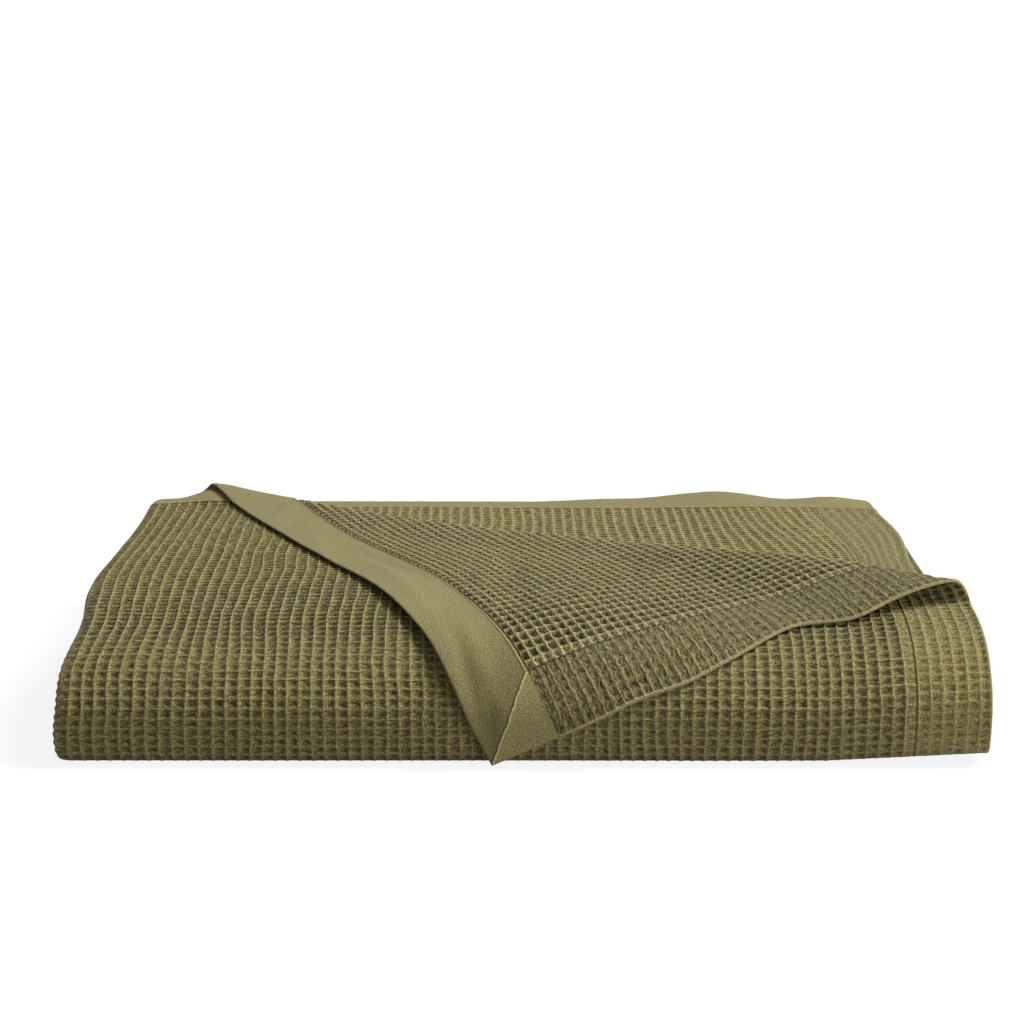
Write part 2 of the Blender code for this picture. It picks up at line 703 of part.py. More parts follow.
def apply_and_seat(made):
    """Apply the thickness, centre the box in x and y and rest it on the floor."""
    depsgraph = bpy.context.evaluated_depsgraph_get()
    shaped = bpy.data.meshes.new_from_object(made.evaluated_get(depsgraph))
    made.modifiers.clear()
    made.data = shaped
    flat = np.empty(len(shaped.vertices) * 3)
    shaped.vertices.foreach_get("co", flat)
    points = flat.reshape(-1, 3)
    low = points.min(axis=0)
    high = points.max(axis=0)
    middle = 0.5 * (low + high)
    points -= np.array([middle[0], middle[1], low[2]])
    shaped.vertices.foreach_set("co", points.ravel())
    shaped.update()
    print("box", np.round((high - low) * 1000.0, 1), "shift", np.round(middle * 1000.0, 2), low[2] * 1000.0)
    print("triangles", sum(len(face.vertices) - 2 for face in shaped.polygons))


def main():
    """Clear the scene and build the blanket."""
    for old in list(bpy.data.objects):
        bpy.data.objects.remove(old, do_unlink=True)
    parts = new_collection("waffle_blanket")
    new_collection("cutters", hidden=True)
    made = build_blanket()
    parts.objects.link(made)
    bpy.context.view_layer.update()
    apply_and_seat(made)


main()
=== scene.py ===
"""Looks of an olive cotton waffle blanket, folded into a pad with one corner turned over.

The cloth is thought of flat first, as it was cut. Widths run across it from the free edge of the top
ply, and lengths run along it from the end band on the top of the pad. FoldedCloth carries those flat
sizes to the folded pad, so that weave, hems, bands and stitching all follow the same folds.
Metres, +Z up, the front towards -Y.
"""

import logging
import math
from collections.abc import Callable, Sequence
from dataclasses import dataclass, field
from enum import Enum

import bpy
import numpy as np
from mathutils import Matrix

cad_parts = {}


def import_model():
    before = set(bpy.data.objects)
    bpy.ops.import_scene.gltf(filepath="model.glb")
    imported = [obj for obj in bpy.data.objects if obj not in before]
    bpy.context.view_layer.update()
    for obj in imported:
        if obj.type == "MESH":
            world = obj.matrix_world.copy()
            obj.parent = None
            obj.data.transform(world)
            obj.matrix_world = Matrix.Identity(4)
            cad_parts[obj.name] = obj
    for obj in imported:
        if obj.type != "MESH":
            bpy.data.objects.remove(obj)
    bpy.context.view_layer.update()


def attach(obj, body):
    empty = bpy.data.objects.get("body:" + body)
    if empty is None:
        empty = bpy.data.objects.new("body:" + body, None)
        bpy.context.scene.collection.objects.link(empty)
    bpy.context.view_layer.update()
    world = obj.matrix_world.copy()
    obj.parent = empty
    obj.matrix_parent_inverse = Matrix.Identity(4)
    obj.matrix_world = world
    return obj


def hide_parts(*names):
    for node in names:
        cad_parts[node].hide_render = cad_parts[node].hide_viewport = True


log = logging.getLogger("waffle_blanket")
Array = np.ndarray
Table = tuple[tuple[float, ...], ...]
Colour = tuple[float, float, float, float]
Socket = bpy.types.NodeSocket

# side of the noise's lattice, and how far it is shifted to keep all places above 0
LATTICE, LATTICE_SHIFT = 64, 1024.0
# plies in the strip, how many plies in its middle line lies, and a difference that counts as none
PLIES, MIDDLE_PLY, TINY = 4.0, 1.5, 1e-9


# ---- small functions
def ease(value: Array) -> Array:
    """Smooth step: 3 t squared less 2 t cubed, with t held between 0 and 1."""
    held = np.clip(value, 0.0, 1.0)
    return held * held * (3.0 - 2.0 * held)


def bell(offset: Array, half_width: float) -> Array:
    """Soft bell: 1 in the middle, falling by a smooth step to 0 at twice its half width."""
    return 1.0 - ease(np.abs(offset) / (2.0 * half_width))


def ridge(offset: Array, half_width: float) -> Array:
    """Gaussian ridge: e to the power of minus the squared offset in half widths."""
    return np.exp(-((offset / half_width) ** 2))


def rises(table: Table, across: Array, along: Array) -> Array:
    """Sum of soft bells: each row's height times one bell in each of the two directions.

    Args:
        table: rows of centre across, centre along, half width across, half width along, height.
        across: first coordinate of the points.
        along: second coordinate of the points.

    Returns:
        The summed height at each point.
    """
    total = np.zeros(np.broadcast(across, along).shape)
    for centre_across, centre_along, half_across, half_along, height in table:
        total += height * bell(across - centre_across, half_across) * bell(along - centre_along, half_along)
    return total


def creases(table: Table, across: Array, along: Array) -> Array:
    """Sum of soft long ridges or troughs, each a bell along its line times a Gaussian across it.

    Args:
        table: rows of centre across, centre along, turn in degrees, half length, half width, height.
        across: flat width of the points.
        along: flat length of the points.

    Returns:
        The summed height at each point.
    """
    total = np.zeros(np.broadcast(across, along).shape)
    for centre_across, centre_along, turn, half_long, half_wide, height in table:
        cosine, sine = math.cos(math.radians(turn)), math.sin(math.radians(turn))
        away_across, away_along = across - centre_across, along - centre_along
        on_line = away_across * cosine + away_along * sine
        off_line = away_along * cosine - away_across * sine
        total += height * bell(on_line, half_long) * ridge(off_line, half_wide)
    return total


def soft_noise(first: Array, second: Array, size: float, seed: int) -> Array:
    """Smooth seeded noise between about -1 and 1: random values on a square lattice, eased between.

    Args:
        first: first coordinate of the points, metres.
        second: second coordinate of the points, metres.
        size: lattice spacing, metres.
        seed: number that fixes the random values.

    Returns:
        The noise at each point.
    """
    values = np.random.default_rng(seed).uniform(-1.0, 1.0, (LATTICE, LATTICE))
    column, row = first / size + LATTICE_SHIFT, second / size + LATTICE_SHIFT
    left, low = np.floor(column).astype(int), np.floor(row).astype(int)
    over, up = ease(column - left), ease(row - low)
    left, low = left % LATTICE, low % LATTICE
    right, high = (left + 1) % LATTICE, (low + 1) % LATTICE
    below = values[left, low] * (1.0 - over) + values[right, low] * over
    above = values[left, high] * (1.0 - over) + values[right, high] * over
    return below * (1.0 - up) + above * up


# ---- sizes
@dataclass(frozen=True)
class WeaveSizes:
    """Sizes of the cloth as woven and sewn, in metres."""

    cell_across: float = 0.0082
    cell_along: float = 0.00631
    side_hem: float = 0.0505
    end_band: float = 0.0445


@dataclass(frozen=True)
class FoldSizes:
    """Sizes of the folded pad, in metres and degrees. They are the ones its solid has."""

    sheet: float = 0.0024
    ply: float = 0.00365
    ply_at_corner: float = 0.0027
    corner_radius: float = 0.0108
    skin: float = 0.0015
    right_edge: float = 0.3175
    right_edge_under: float = 0.296
    right_fold: float = 0.301
    left_fold: float = -0.2985
    left_fold_under: float = -0.2905
    top_length: float = 0.482
    under_short: float = 0.012
    back_low: float = 0.392
    back_high: float = 0.374
    back_end: float = 0.39
    nose_high: float = 0.104
    turned: float = 0.0036
    settle: float = 0.03
    hang_start: float = 0.019
    bow_reach: float = 0.09
    lift_start: float = 0.21
    lift_height: float = 0.006
    lift_depth: float = 0.1
    # step of the fold path, and its steps round the bottom corner and on the floor
    path_step: float = 0.0005
    arc_steps: int = 24
    floor_steps: int = 80
    # where the plies spread from the corner's spacing: start and reach up the front, reach on the floor
    tight_start: float = 0.004
    tight_reach: float = 0.026
    floor_reach: float = 0.036
    # lengths up the front: the crest lies before one, the first inner fold past one, the top from one
    crest_before: float = 0.4
    steep_from: float = 0.012
    level_from: float = 0.3
    # how far past the wrap's end the top's own shapes go on, and where the under plies are as long again
    wrap_overlap: float = 0.02
    short_reach: float = 0.2
    # where rises die out: by the slanting fold, by the left fold, and just past the corner's roll
    calm_by_fold: float = 0.035
    left_clear: float = 0.012
    left_ease: float = 0.04
    own_reach: float = 0.03
    # further reach in which the turned corner settles, in radii of its roll
    settle_rolls: float = 6.0
    # how far above the top the pad's rises still grow, and where the left end's bumps start
    rise_cap: float = 1.3
    left_start: float = 0.18
    left_reach: float = 0.11
    fold_back: tuple[float, float] = (-0.2554, 0.482)
    fold_front: tuple[float, float] = (0.3175, 0.15)
    corner_tip: tuple[float, float] = (-0.0146, 0.0024)
    # from the fold's own frame to the part's: how far its box is centred and seated
    seat: tuple[float, float, float] = (0.00605, 0.21116, -0.00008)
    # length up the front, slope in degrees
    front_slope: Table = (
        (0.0, 100.0), (0.009, 96.0), (0.018, 91.0), (0.026, 82.0), (0.034, 66.5), (0.041, 58.0),
        (0.049, 52.0), (0.061, 40.5), (0.074, 28.0), (0.087, 20.0), (0.1, 14.0), (0.12, 8.5),
        (0.145, 5.0), (0.18, 2.8), (0.21, 0.8), (0.24, 0.0), (0.418, 0.0), (0.445, -9.0),
        (0.4725, -16.0),
    )
    # share of the slanting fold, radius of its roll
    fold_roll: Table = ((0.0, 0.0026), (0.6, 0.003), (1.0, 0.009))
    # x, length up, half width in x, half width in length, slide up the front
    fold_bows: Table = (
        (-0.085, 0.35, 0.11, 0.1, -0.03),
        (0.23, 0.195, 0.05, 0.04, 0.006),
    )
    # x, length up, half width in x, half width in length, height
    top_rises: Table = (
        (-0.245, 0.486, 0.03, 0.034, 0.0085),
        (-0.165, 0.47, 0.045, 0.03, 0.0025),
        (-0.13, 0.165, 0.06, 0.04, 0.002),
        (-0.22, 0.29, 0.05, 0.05, 0.0016),
        (0.06, 0.12, 0.05, 0.03, 0.0014),
        (-0.15, 0.045, 0.06, 0.026, 0.0024),
        (0.13, 0.04, 0.06, 0.026, 0.0028),
        (0.27, 0.09, 0.04, 0.03, 0.0018),
        (-0.27, 0.075, 0.03, 0.026, 0.0016),
    )
    under_rises: Table = (
        (0.172, 0.472, 0.04, 0.026, 0.0085),
        (0.09, 0.46, 0.04, 0.02, 0.003),
        (0.265, 0.46, 0.024, 0.022, 0.005),
        (0.23, 0.33, 0.06, 0.06, 0.002),
    )
    # x, length up, half width in x, half width in length, sideways pull; only the second ply
    under_pulls: Table = (
        (0.3, 0.345, 0.05, 0.05, 0.007),
        (0.215, 0.262, 0.04, 0.055, 0.017),
        (0.215, 0.44, 0.04, 0.05, -0.006),
        (0.08, 0.26, 0.07, 0.06, 0.005),
    )
    # flat across, flat along, turn in degrees, half length, half width, height; on the turned corner
    corner_creases: Table = (
        (0.06, 0.01, 8.0, 0.03, 0.005, -0.0016),
        (0.072, 0.022, 5.0, 0.034, 0.006, 0.0012),
        (0.03, 0.012, 20.0, 0.016, 0.004, -0.001),
        (0.2, 0.018, 4.0, 0.07, 0.0055, 0.0009),
        (0.245, 0.031, -5.0, 0.055, 0.006, -0.0009),
        (0.345, 0.012, 12.0, 0.04, 0.006, 0.0009),
        (0.42, 0.022, 30.0, 0.022, 0.006, -0.0011),
        (0.455, 0.024, 34.0, 0.022, 0.005, 0.001),
        (0.11, 0.1, 60.0, 0.05, 0.012, 0.0016),
        (0.08, 0.17, 75.0, 0.05, 0.01, -0.0014),
        (0.18, 0.09, 20.0, 0.06, 0.012, -0.0014),
        (0.15, 0.19, 50.0, 0.04, 0.01, 0.0014),
    )
    # x, length up, half width in x, half width in length, height; only the turned corner
    corner_rises: Table = (
        (-0.048, 0.06, 0.022, 0.04, 0.005),
        (-0.085, 0.13, 0.03, 0.05, 0.003),
    )
    # x, length up, half width in x, half width in length, slide up the front; only the turned corner
    corner_bows: Table = (
        (0.19, 0.092, 0.022, 0.03, 0.0095),
        (0.118, 0.06, 0.022, 0.025, -0.004),
        (0.238, 0.113, 0.014, 0.02, -0.003),
    )
    # depth, height, half depth, half height, sideways move
    left_bumps: Table = (
        (0.0, 0.02, 0.05, 0.026, -0.0062),
        (0.018, 0.062, 0.03, 0.014, -0.003),
        (0.06, 0.08, 0.034, 0.02, 0.0042),
        (0.15, 0.088, 0.045, 0.024, -0.0022),
        (0.24, 0.045, 0.06, 0.018, -0.004),
        (0.33, 0.075, 0.05, 0.02, 0.003),
        (0.39, 0.03, 0.04, 0.022, -0.0045),
    )
    shared_lines: tuple[float, ...] = (-0.293, -0.17, -0.04, 0.09, 0.21, 0.3)
    shared_depths: tuple[float, ...] = (0.0, 0.1, 0.19, 0.28, 0.37, 0.45)
    # x, depth, half width, half depth, height at the top
    pad_rises: Table = (
        (-0.295, 0.3, 0.06, 0.11, -0.004),
        (-0.12, 0.23, 0.11, 0.07, 0.0022),
        (0.07, 0.33, 0.08, 0.06, -0.0018),
        (0.2, 0.12, 0.07, 0.06, 0.0026),
        (0.305, 0.28, 0.04, 0.12, -0.004),
        (-0.18, 0.09, 0.06, 0.035, -0.002),
        (0.04, 0.06, 0.07, 0.03, 0.0018),
    )


class Side(Enum):
    """Which side of the cloth faces the eye; its value is the sign of that side's normal."""

    RIGHT = 1.0
    WRONG = -1.0


# ---- the fold path of the strip
class FoldPath:
    """Middle line of the strip of four plies in the (depth, height) plane, as arrays over its length."""

    def __init__(self, fold: FoldSizes) -> None:
        """Lay the line from the back end of the top round to the end inside the pad.

        Args:
            fold: sizes of the folded pad.
        """
        self.fold = fold
        self.marks: dict[str, float] = {}
        self._runs: list[Array] = []
        self._outer_wrap()
        self._inner_folds()
        self.depth, self.height, self.heading, self.step, self.length = np.concatenate(self._runs).T

    def _add(
        self, depth: Array, height: Array, heading: Array, step: Array, moved: float | None = None
    ) -> None:
        """Add a run of points; a point's length is the last one's plus the way between, or plus moved.

        Args:
            depth: depth of each point.
            height: height of each point.
            heading: heading of the line at each point, radians.
            step: distance of one ply to the next there.
            moved: length from point to point where it isn't the distance between them.
        """
        depth, height = np.atleast_1d(depth), np.atleast_1d(height)
        if self._runs:
            last = self._runs[-1][-1]
            way = np.hypot(np.diff(depth, prepend=last[0]), np.diff(height, prepend=last[1]))
            if moved is not None:
                way = np.full(len(depth), moved)
            length = last[4] + np.cumsum(way)
        else:
            length = np.arange(len(depth)) * (moved or 0.0)
        columns = np.broadcast_arrays(depth, height, heading, step, length)
        self._runs.append(np.column_stack(columns))

    def _here(self) -> Array:
        """The last point laid."""
        return self._runs[-1][-1]

    def _mark(self, name: str) -> None:
        """Keep the length at the last point under a name."""
        self.marks[name] = float(self._here()[4])

    def _outer_wrap(self) -> None:
        """Outer ply from the floor up the front and over the top, turned into the strip's middle.

        Depth and height are the running sums of the cosine and sine of the slope; the strip's middle lies
        one and a half plies inside it. The bottom corner is an arc that ends flat on the floor.
        """
        fold = self.fold
        table = np.array(fold.front_slope)
        steps = int(round(table[-1, 0] / fold.path_step))
        rise = np.linspace(0.0, table[-1, 0], steps + 1)
        slope = np.radians(np.interp(rise, table[:, 0], table[:, 1]))
        start_turn = math.radians(180.0 - table[0, 1])
        middle = 0.5 * (slope[1:] + slope[:-1])
        depth = np.concatenate(([0.0], np.cumsum(np.cos(middle)) * fold.path_step))
        height = np.concatenate(([0.0], np.cumsum(np.sin(middle)) * fold.path_step))
        depth += -fold.corner_radius * math.sin(start_turn)
        height += fold.sheet / 2.0 + fold.corner_radius * (1.0 - math.cos(start_turn))
        shift = -float(depth.min()) + fold.sheet / 2.0
        depth += shift
        self.rise, self.slope, self.wrap_depth, self.wrap_height = rise, slope, depth, height
        self.top_height = float(height[rise < fold.crest_before].max())
        self.arc = fold.corner_radius * start_turn
        self.wrap_end = float(rise[-1])
        more = fold.ply - fold.ply_at_corner
        ply = fold.ply_at_corner + more * ease((rise - fold.tight_start) / fold.tight_reach)
        middle_depth = depth + MIDDLE_PLY * ply * np.sin(slope)
        middle_height = height - MIDDLE_PLY * ply * np.cos(slope)
        back = slice(None, None, -1)
        self._add(middle_depth[back], middle_height[back], math.pi + slope[back], ply[back], fold.path_step)
        turn = start_turn * (1.0 - np.arange(1, fold.arc_steps + 1) / fold.arc_steps)
        out = fold.corner_radius - MIDDLE_PLY * fold.ply_at_corner
        around, centre = shift - out * np.sin(turn), fold.sheet / 2.0 + fold.corner_radius
        heading, moved = 2.0 * math.pi - turn, self.arc / fold.arc_steps
        self._add(around, centre - out * np.cos(turn), heading, fold.ply_at_corner, moved)
        away = np.arange(1, fold.floor_steps + 1) * fold.path_step
        ply = fold.ply_at_corner + more * ease(away / fold.floor_reach)
        self._add(shift + away, fold.sheet / 2.0 + MIDDLE_PLY * ply, 2.0 * math.pi, ply)

    def _straight(self, depth: float, height: float, heading: float) -> None:
        """Lay even points on the straight line from the last point to another.

        Args:
            depth: depth of its end.
            height: height of its end.
            heading: heading of the line, radians.
        """
        from_depth, from_height = self._here()[:2]
        way = math.hypot(depth - from_depth, height - from_height)
        steps = max(1, int(round(way / self.fold.path_step)))
        share = np.arange(1, steps + 1) / steps
        depths = from_depth + (depth - from_depth) * share
        self._add(depths, from_height + (height - from_height) * share, heading, self.fold.ply)

    def _nose(self, centre: tuple[float, float], radius: float, start: float, end: float) -> None:
        """Lay an arc from one heading to another: each point lies a radius out, across the heading.

        Args:
            centre: depth and height of its centre.
            radius: its radius.
            start: heading at its start, radians.
            end: heading at its end.
        """
        sign = 1.0 if end > start else -1.0
        steps = max(12, int(abs(end - start) * radius / self.fold.path_step))
        heading = start + (end - start) * np.arange(1, steps + 1) / steps
        depth = centre[0] + np.sin(heading) * sign * radius
        self._add(depth, centre[1] - np.cos(heading) * sign * radius, heading, self.fold.ply)

    def _inside(self, inward: float) -> tuple[Array, Array]:
        """Depth and height of the line that runs a distance inside the outer wrap."""
        return self.wrap_depth + inward * np.sin(self.slope), self.wrap_height - inward * np.cos(self.slope)

    def _inner_folds(self) -> None:
        """The five panels inside the wrap, with two folds at the back and two at the front."""
        fold, turn = self.fold, math.pi
        strip = PLIES * fold.ply
        base = fold.sheet / 2.0 + MIDDLE_PLY * fold.ply
        height_top = self.top_height - (MIDDLE_PLY + PLIES) * fold.ply - fold.skin
        height_under = height_top - strip - fold.skin
        self._mark("floor")
        self._straight(fold.back_low, base, 2.0 * turn)
        self._mark("back_low")
        self._nose((fold.back_low, base + strip / 2.0), strip / 2.0, 2.0 * turn, 3.0 * turn)
        self._mark("back_low_end")
        # the first front fold follows the inside of the wrap from a steep slope up
        depth, height = self._inside((MIDDLE_PLY + PLIES) * fold.ply + fold.skin)
        radius = strip / 2.0
        wanted = height - radius * np.cos(self.slope) - (base + strip + radius)
        first = int(np.argmax((wanted > 0.0) & (self.rise > fold.steep_from)))
        centre = (float(depth[first] + radius * math.sin(self.slope[first])), base + strip + radius)
        self._straight(centre[0], base + strip, 3.0 * turn)
        self._mark("nose_low")
        self._nose(centre, radius, 3.0 * turn, 2.0 * turn + self.slope[first])
        self._mark("nose_low_end")
        last = int(np.searchsorted(self.rise, fold.level_from))
        run = slice(first + 1, last)
        self._add(depth[run], height[run], 2.0 * turn + self.slope[run], fold.ply)
        self._straight(fold.back_high, height_top, 2.0 * turn)
        self._mark("back_high")
        radius = 0.5 * (height_top - height_under)
        self._nose((fold.back_high, height_top - radius), radius, 2.0 * turn, turn)
        self._mark("back_high_end")
        # the innermost front fold follows the wrap down a little way only
        depth, height = self._inside((MIDDLE_PLY + 2.0 * PLIES) * fold.ply + 2.0 * fold.skin)
        first = int(np.argmax(depth > fold.nose_high))
        self._straight(depth[last], height[last], turn)
        run = slice(last - 1, first, -1)
        self._add(depth[run], height[run], turn + self.slope[run], fold.ply)
        self._mark("nose_high")
        here, slope = self._here(), self.slope[first + 1]
        low = base + 2.0 * strip
        radius = (here[1] - low) / (1.0 + math.cos(slope))
        self._nose((here[0] + radius * math.sin(slope), low + radius), radius, turn + slope, 2.0 * turn)
        self._mark("nose_high_end")
        self._straight(fold.back_end, low, 2.0 * turn)
        self._mark("end")

    def place(self, along: Array, inward_plies: Array, lift: Array) -> tuple[Array, Array]:
        """Depth and height of points of the strip: its middle line, moved out across the heading.

        Args:
            along: length on the line.
            inward_plies: plies in from the outer ply.
            lift: further way outward, metres.

        Returns:
            Depths and heights.
        """
        heading = np.interp(along, self.length, self.heading)
        out = (MIDDLE_PLY - inward_plies) * np.interp(along, self.length, self.step) + lift
        depth = np.interp(along, self.length, self.depth) + out * np.sin(heading)
        return depth, np.interp(along, self.length, self.height) - out * np.cos(heading)


# ---- the folded cloth
class FoldedCloth:
    """Carries flat cloth sizes, across and along, to the folded pad."""

    def __init__(self, fold: FoldSizes) -> None:
        """Work out the fold path and the widths of the plies.

        Args:
            fold: sizes of the folded pad.
        """
        self.fold = fold
        self.path = FoldPath(fold)
        self.left_outer = fold.left_fold + MIDDLE_PLY * fold.ply
        self.left_under = fold.left_fold_under + 0.5 * fold.ply
        self.right_centre = fold.right_fold - 0.5 * fold.ply
        small = math.pi * 0.5 * fold.ply
        widths = (
            fold.right_edge - self.left_outer,
            3.0 * small,
            self.right_centre - self.left_outer,
            small,
            self.right_centre - self.left_under,
            small,
            fold.right_edge_under - self.left_under,
        )
        self.edges = np.concatenate(([0.0], np.cumsum(widths)))
        self.corner_up = fold.top_length - self.path.wrap_end
        back, front = np.array(fold.fold_back), np.array(fold.fold_front)
        self.fold_start = back
        self.fold_long = float(np.hypot(*(front - back)))
        self.fold_way = (front - back) / self.fold_long
        self.fold_out = np.array([-self.fold_way[1], self.fold_way[0]])
        corner = np.array([fold.right_edge, fold.top_length]) - back
        tip = np.array(fold.corner_tip) - back
        beyond = float(corner @ self.fold_out)
        self.slide = float(tip @ self.fold_way - corner @ self.fold_way) / beyond
        self.fall = float(tip @ self.fold_out) / beyond

    @property
    def width(self) -> float:
        """Width of the whole cloth as cut."""
        return float(self.edges[-1])

    @property
    def length(self) -> float:
        """Length of the whole cloth as cut."""
        return self.path.marks["end"]

    def fold_distance(self, side: Array, length_up: Array) -> Array:
        """Distance beyond the slanting fold, towards the turned corner."""
        start, out = self.fold_start, self.fold_out
        return (side - start[0]) * out[0] + (length_up - start[1]) * out[1]

    def fold_roll(self, side: Array, length_up: Array) -> tuple[Array, Array]:
        """Distance on along the slanting fold, and the radius of its roll there.

        Args:
            side: x of the points before they are turned.
            length_up: length up the front before they are turned.

        Returns:
            The distances and the radii.
        """
        start, way, table = self.fold_start, self.fold_way, np.array(self.fold.fold_roll)
        share = (side - start[0]) * way[0] + (length_up - start[1]) * way[1]
        return share, np.interp(share / self.fold_long, table[:, 0], table[:, 1])

    def beyond_fold(self, across: Array, along: Array) -> Array:
        """Distance of top ply points beyond the start of the roll along the slanting fold."""
        side, length_up = self.fold.right_edge - across, self.fold.top_length - along
        return self.fold_distance(side, length_up) + self.fold_roll(side, length_up)[1] * math.pi / 2.0

    def place(self, across: Array, along: Array) -> Array:
        """Points of the middle of the cloth in the part's frame.

        Args:
            across: width from the top ply's free edge.
            along: length from the end band on the top.

        Returns:
            An array with x, y and z in its last axis.
        """
        fold, edges = self.fold, self.edges
        side, plies = self._cross_section(across)
        short = fold.under_short * ease((across - edges[2]) / (edges[7] - edges[2]))
        path_along = along + short * (1.0 - ease(along / fold.short_reach))
        on_wrap = path_along <= self.path.wrap_end + fold.wrap_overlap
        on_top = (across <= edges[1] + TINY) & on_wrap
        length_up = fold.top_length - path_along
        far = self.fold_distance(side, length_up)
        second = (across >= edges[6] - TINY) & on_wrap
        lift = rises(fold.under_rises, side, length_up) * ease(far / fold.calm_by_fold)
        lift = np.where(second, lift, 0.0)
        lift = lift + np.where(on_top, self._top_lift(side, length_up), 0.0)
        near = 1.0 - ease(np.abs(far) / fold.bow_reach)
        bow = np.where(on_top, rises(fold.fold_bows, side, length_up) * near, 0.0)
        depth, height = self.path.place(path_along - bow, plies, lift)
        side = side + np.where(second, rises(fold.under_pulls, side, length_up), 0.0)
        crease = creases(fold.corner_creases, across, along)
        turn_side, turn_depth, turn_height, rolled = self._turn_over(side, length_up, crease)
        use = on_top & rolled
        side = np.where(use, turn_side, side)
        depth = np.where(use, turn_depth, depth)
        height = np.where(use, turn_height, height)
        side, depth, height = self._soften(side, depth, height)
        return np.stack((side, depth, height), axis=-1) - np.array(fold.seat)

    def _cross_section(self, across: Array) -> tuple[Array, Array]:
        """Place points across the folded strip: a ply runs straight, and a fold is half a circle.

        Args:
            across: width from the top ply's free edge.

        Returns:
            x of the points, and how many plies in from the outer ply they lie.
        """
        edges, fold, pi = self.edges, self.fold, math.pi
        part = np.clip(np.searchsorted(edges, across, side="right") - 1, 0, 6)
        away = across - edges[part]
        turn = pi * away / np.diff(edges)[part]
        sides = (
            fold.right_edge - away,
            self.left_outer - MIDDLE_PLY * fold.ply * np.sin(turn),
            self.left_outer + away,
            self.right_centre + 0.5 * fold.ply * np.sin(turn),
            self.right_centre - away,
            self.left_under - 0.5 * fold.ply * np.sin(turn),
            self.left_under + away,
        )
        plies = (
            np.zeros_like(away),
            MIDDLE_PLY - MIDDLE_PLY * np.cos(turn),
            np.full_like(away, 3.0),
            2.5 + 0.5 * np.cos(turn),
            np.full_like(away, 2.0),
            1.5 + 0.5 * np.cos(turn),
            np.full_like(away, 1.0),
        )
        return np.choose(part, sides), np.choose(part, plies)

    def _top_lift(self, side: Array, length_up: Array) -> Array:
        """Soft rises of the top ply, none at its left fold."""
        away = side - (self.fold.left_fold + self.fold.left_clear)
        return rises(self.fold.top_rises, side, length_up) * ease(away / self.fold.left_ease)

    def _turn_over(self, side: Array, length_up: Array, crease: Array) -> tuple[Array, ...]:
        """Place the turned corner: half a circle at the fold, then a sheet that settles on the top.

        Args:
            side: x of the point before it is turned.
            length_up: length up the front before it is turned.
            crease: height of the corner's own creases.

        Returns:
            x, depth, height, and whether the point is past the start of the roll.
        """
        fold = self.fold
        share, radius = self.fold_roll(side, length_up)
        distance = self.fold_distance(side, length_up)
        half = radius * math.pi / 2.0
        angle = np.clip((distance + half) / radius, 0.0, math.pi)
        past = np.maximum(distance - half, 0.0)
        on_roll = distance < half
        over = np.where(on_roll, -half + radius * np.sin(angle), self.fall * past - half)
        slid = share + self.slide * past
        down = ease(past / (fold.settle + fold.settle_rolls * radius))
        settled = fold.turned + (2.0 * radius - fold.turned) * (1.0 - down)
        lift = np.where(on_roll, radius * (1.0 - np.cos(angle)), settled)
        new_side = self.fold_start[0] + slid * self.fold_way[0] + over * self.fold_out[0]
        new_up = self.fold_start[1] + slid * self.fold_way[1] + over * self.fold_out[1]
        new_up = new_up + rises(fold.fold_bows + fold.corner_bows, new_side, new_up)
        own = (crease + rises(fold.corner_rises, new_side, new_up)) * ease(past / fold.own_reach)
        depth, height = self._hang(new_up, lift + own + self._top_lift(new_side, new_up))
        return new_side, depth, height, distance > -half

    def _hang(self, length_up: Array, lift: Array) -> tuple[Array, Array]:
        """Place a point over the top ply; low down it hangs straight to the floor.

        Args:
            length_up: length up the front.
            lift: how far it lies over the ply's middle.

        Returns:
            Its depth and height.
        """
        path = self.path
        rise = length_up - self.corner_up
        held = np.maximum(rise, self.fold.hang_start)
        beyond = np.maximum(held - path.wrap_end, 0.0)
        slope = np.interp(held, path.rise, path.slope)
        depth = np.interp(held, path.rise, path.wrap_depth) + beyond * np.cos(slope) - lift * np.sin(slope)
        height = np.interp(held, path.rise, path.wrap_height) + beyond * np.sin(slope) + lift * np.cos(slope)
        return depth, height + np.minimum(rise - self.fold.hang_start, 0.0)

    def _soften(self, side: Array, depth: Array, height: Array) -> tuple[Array, Array, Array]:
        """Uneven rises, dips and ends of the whole pad, even along each ply, so that no plies meet.

        Args:
            side: x of the points.
            depth: their depth.
            height: their height.

        Returns:
            x, depth and height of the moved points.
        """
        fold = self.fold
        lines, depths = np.array(fold.shared_lines), np.array(fold.shared_depths)
        rise = np.zeros_like(height)
        for centre, centre_depth, half, half_depth, tall in fold.pad_rises:
            at_lines = np.interp(side, lines, bell(lines - centre, half))
            rise = rise + tall * at_lines * np.interp(depth, depths, bell(depths - centre_depth, half_depth))
        tallest = self.path.top_height - fold.sheet
        share = np.clip((height - fold.sheet) / tallest, 0.0, fold.rise_cap)
        new_height = height + rise * share
        lift = np.clip((side - fold.lift_start) / (fold.right_edge - fold.lift_start), 0.0, 1.0)
        new_height = new_height + fold.lift_height * lift * np.clip(1.0 - depth / fold.lift_depth, 0.0, 1.0)
        at_left = ease((-side - fold.left_start) / fold.left_reach)
        return side + rises(fold.left_bumps, depth, height) * at_left, depth, new_height


